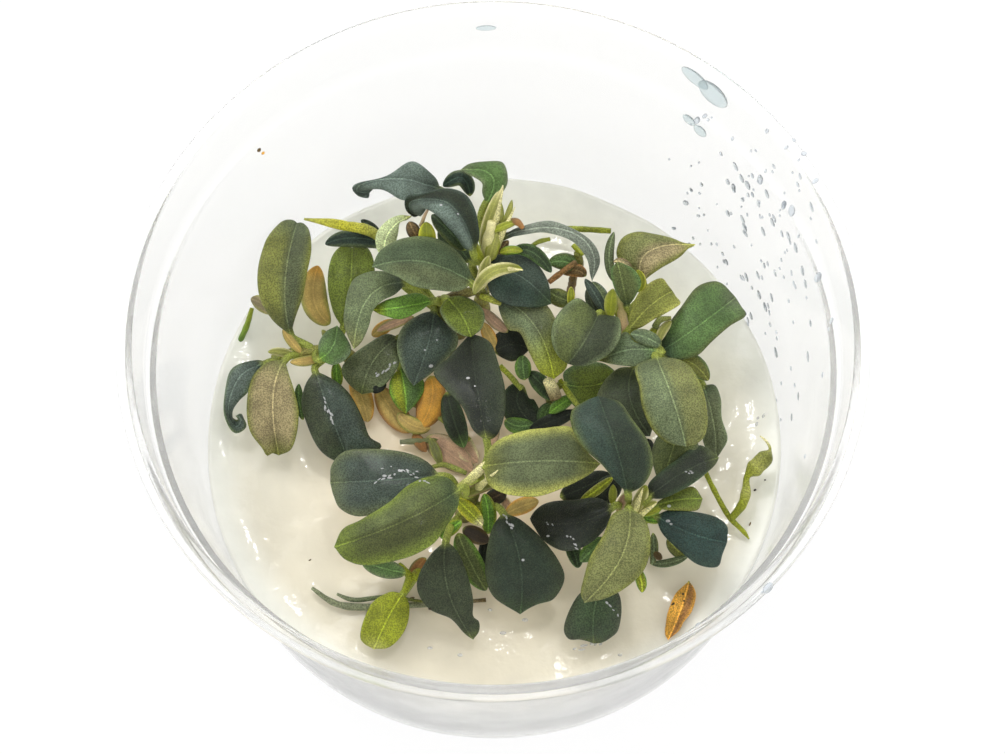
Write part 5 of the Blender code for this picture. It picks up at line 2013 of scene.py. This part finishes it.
CRUMBS = Drops("crumbs", "leaf_amber", Sheen.SATIN, (
    Drop(755, 490, 0.3, 0.4, 20.0, 0.15, T.UMBER), Drop(765, 480, 0.2, 0.3, 0.0, 0.12, T.UMBER),
    Drop(673, 604, 0.35, 0.5, 40.0, 0.1, T.UMBER), Drop(683, 594, 0.3, 0.35, 0.0, 0.1, T.UMBER),
    Drop(684, 601, 0.25, 0.3, 0.0, 0.1, T.UMBER), Drop(750, 524, 0.2, 0.6, 70.0, 0.12, T.BROWN),
    Drop(412, 598, 0.3, 0.7, 10.0, 0.15, T.BROWN), Drop(420, 604, 0.3, 0.5, 60.0, 0.15, T.BROWN),
    Drop(430, 609, 0.25, 0.5, 0.0, 0.15, T.UMBER), Drop(310, 560, 0.2, 0.4, 30.0, 0.1, T.BROWN),
))

# Clear smears at the lip's reflections; their bluish-grey tint is painted reflection.
LIP_REFLECTION_SMEARS = Drops("reflection_smears_on_lip", "cup", Clear.REFLECTION_SMEAR, (
    Drop(695, 78, 2.8, 4.2, -38.0), Drop(713, 94, 4.4, 4.6, -44.0), Drop(689, 120, 1.9, 2.0, -40.0),
    Drop(700, 131, 2.2, 2.0, -40.0), Drop(486, 28, 1.2, 2.6, 2.0),
))

WALL_CRUMBS = Drops("crumbs_on_wall", "leaf_amber", Sheen.SATIN, (
    Drop(259, 150, 0.6, 0.6, 0.0, 0.2, T.BROWN), Drop(263, 153, 0.4, 0.5, 0.0, 0.2, T.AMBER),
))


@dataclass(frozen=True)
class Lamp:
    """A square soft light aimed at the clump, in metres and watts."""

    name: str
    place: tuple[float, float, float]
    size: float
    power: float

    aim_height: ClassVar[float] = 0.02

    def make(self) -> None:
        """Sets up the light."""
        light = bpy.data.lights.new(self.name, "AREA")
        light.size = self.size
        light.energy = self.power
        lamp = bpy.data.objects.new(self.name, light)
        lamp.location = self.place
        aim = Vector((0.0, 0.0, self.aim_height)) - Vector(self.place)
        lamp.rotation_euler = aim.to_track_quat("-Z", "Y").to_euler()
        bpy.context.collection.objects.link(lamp)


@dataclass(frozen=True)
class Studio:
    """The pale floor, the soft light and the camera."""

    floor_size: float = 3000.0
    floor_drop: float = 0.1
    floor_tone: tuple[float, float] = (0.045, 0.055)
    glow: float = 0.93
    sky_low: float = 1.7
    sky_high: float = 0.7
    bounces: int = 12
    clear_bounces: int = 10
    lamps: tuple[Lamp, ...] = (
        Lamp("softbox", (-0.35, 0.5, 0.75), 0.5, 4.0),
        Lamp("small_window", (0.12, 0.25, 0.8), 0.07, 0.8),
    )

    def floor(self) -> None:
        """The plain floor under the cup, dark in itself and lit from within."""
        body = bmesh.new()
        bmesh.ops.create_grid(body, x_segments=2, y_segments=2, size=self.floor_size / 2.0)
        bmesh.ops.translate(body, verts=body.verts, vec=(0.0, 0.0, -self.floor_drop))
        recipe = Recipe("floor_white")
        pale = recipe.ramp(recipe.noise(3.0), 0.3, 0.7, *self.floor_tone)
        recipe.surface(
            Base_Color=recipe.node("ShaderNodeCombineColor", {0: pale, 1: pale, 2: pale}).outputs[0],
            Roughness=0.9, Emission_Color=(1.0, 1.0, 1.0, 1.0), Emission_Strength=self.glow,
        )
        linked("floor", body, recipe.material)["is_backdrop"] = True

    def sky(self) -> None:
        """An even white surround, dimmer overhead."""
        world = bpy.data.worlds.new("surround")
        bpy.context.scene.world = world
        world.use_nodes = True
        tree = world.node_tree
        place = tree.nodes.new("ShaderNodeTexCoord")
        parts = tree.nodes.new("ShaderNodeSeparateXYZ")
        height = tree.nodes.new("ShaderNodeMapRange")
        height.inputs["From Min"].default_value = 0.3
        height.inputs["From Max"].default_value = 1.0
        height.inputs["To Min"].default_value = self.sky_low
        height.inputs["To Max"].default_value = self.sky_high
        background = tree.nodes["Background"]
        tree.links.new(place.outputs["Generated"], parts.inputs[0])
        tree.links.new(parts.outputs[2], height.inputs["Value"])
        tree.links.new(height.outputs[0], background.inputs["Strength"])
        background.inputs["Color"].default_value = (1.0, 1.0, 1.0, 1.0)

    def camera(self) -> None:
        """The camera at the picture's viewpoint."""
        lens = bpy.data.cameras.new("camera")
        lens.sensor_width = VIEW.sensor
        lens.lens = VIEW.focal / VIEW.columns * VIEW.sensor
        lens.clip_start = 0.01
        camera = bpy.data.objects.new("camera", lens)
        turn = Matrix((VIEW.right, VIEW.up, VIEW.back)).transposed()
        camera.matrix_world = Matrix.Translation(VIEW.eye * MM) @ turn.to_4x4()
        bpy.context.collection.objects.link(camera)
        bpy.context.scene.camera = camera

    def make(self) -> None:
        """Sets up everything around the object."""
        self.floor()
        self.sky()
        for lamp in self.lamps:
            lamp.make()
        self.camera()
        scene = bpy.context.scene
        scene.view_settings.view_transform = "Standard"
        scene.cycles.use_denoising = True
        scene.cycles.max_bounces = self.bounces
        scene.cycles.transmission_bounces = self.clear_bounces
        scene.cycles.caustics_refractive = True


def main() -> None:
    """Builds the surroundings, then each piece in turn."""
    Studio().make()
    cup = Cup()
    cup_piece = cup.make()
    gel_piece = Gel().make(cup)
    stems = {stem.name: stem for stem in STEMS}
    for stem in STEMS:
        stem.make()
    pieces = [leaf.make(stems[leaf.stem]) for leaf in LEAVES]
    pieces += [bunch.make() for bunch in UNDERGROWTH]
    pieces.append(FALLEN_LEAF.make())
    for bunch in (ROOT, SPEAR, ROLLED_SHOOT):
        bunch.make()
    clump = Skin([*pieces, gel_piece])
    for drops in (LEAF_WATER_GLINTS, GEL_WATER_GLINTS, CRUMBS):
        drops.make(clump)
    wall = Skin([cup_piece])
    for drops in (WALL_CRUMBS, Condensation(), LIP_REFLECTION_SMEARS):
        drops.make(wall)
    for piece in bpy.context.scene.objects:
        LOG.info("made: %s", piece.name)
    boxes = [[list(corner) for corner in box] for box in (CAD_BOX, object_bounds())]


if __name__ == "__main__":
    main()
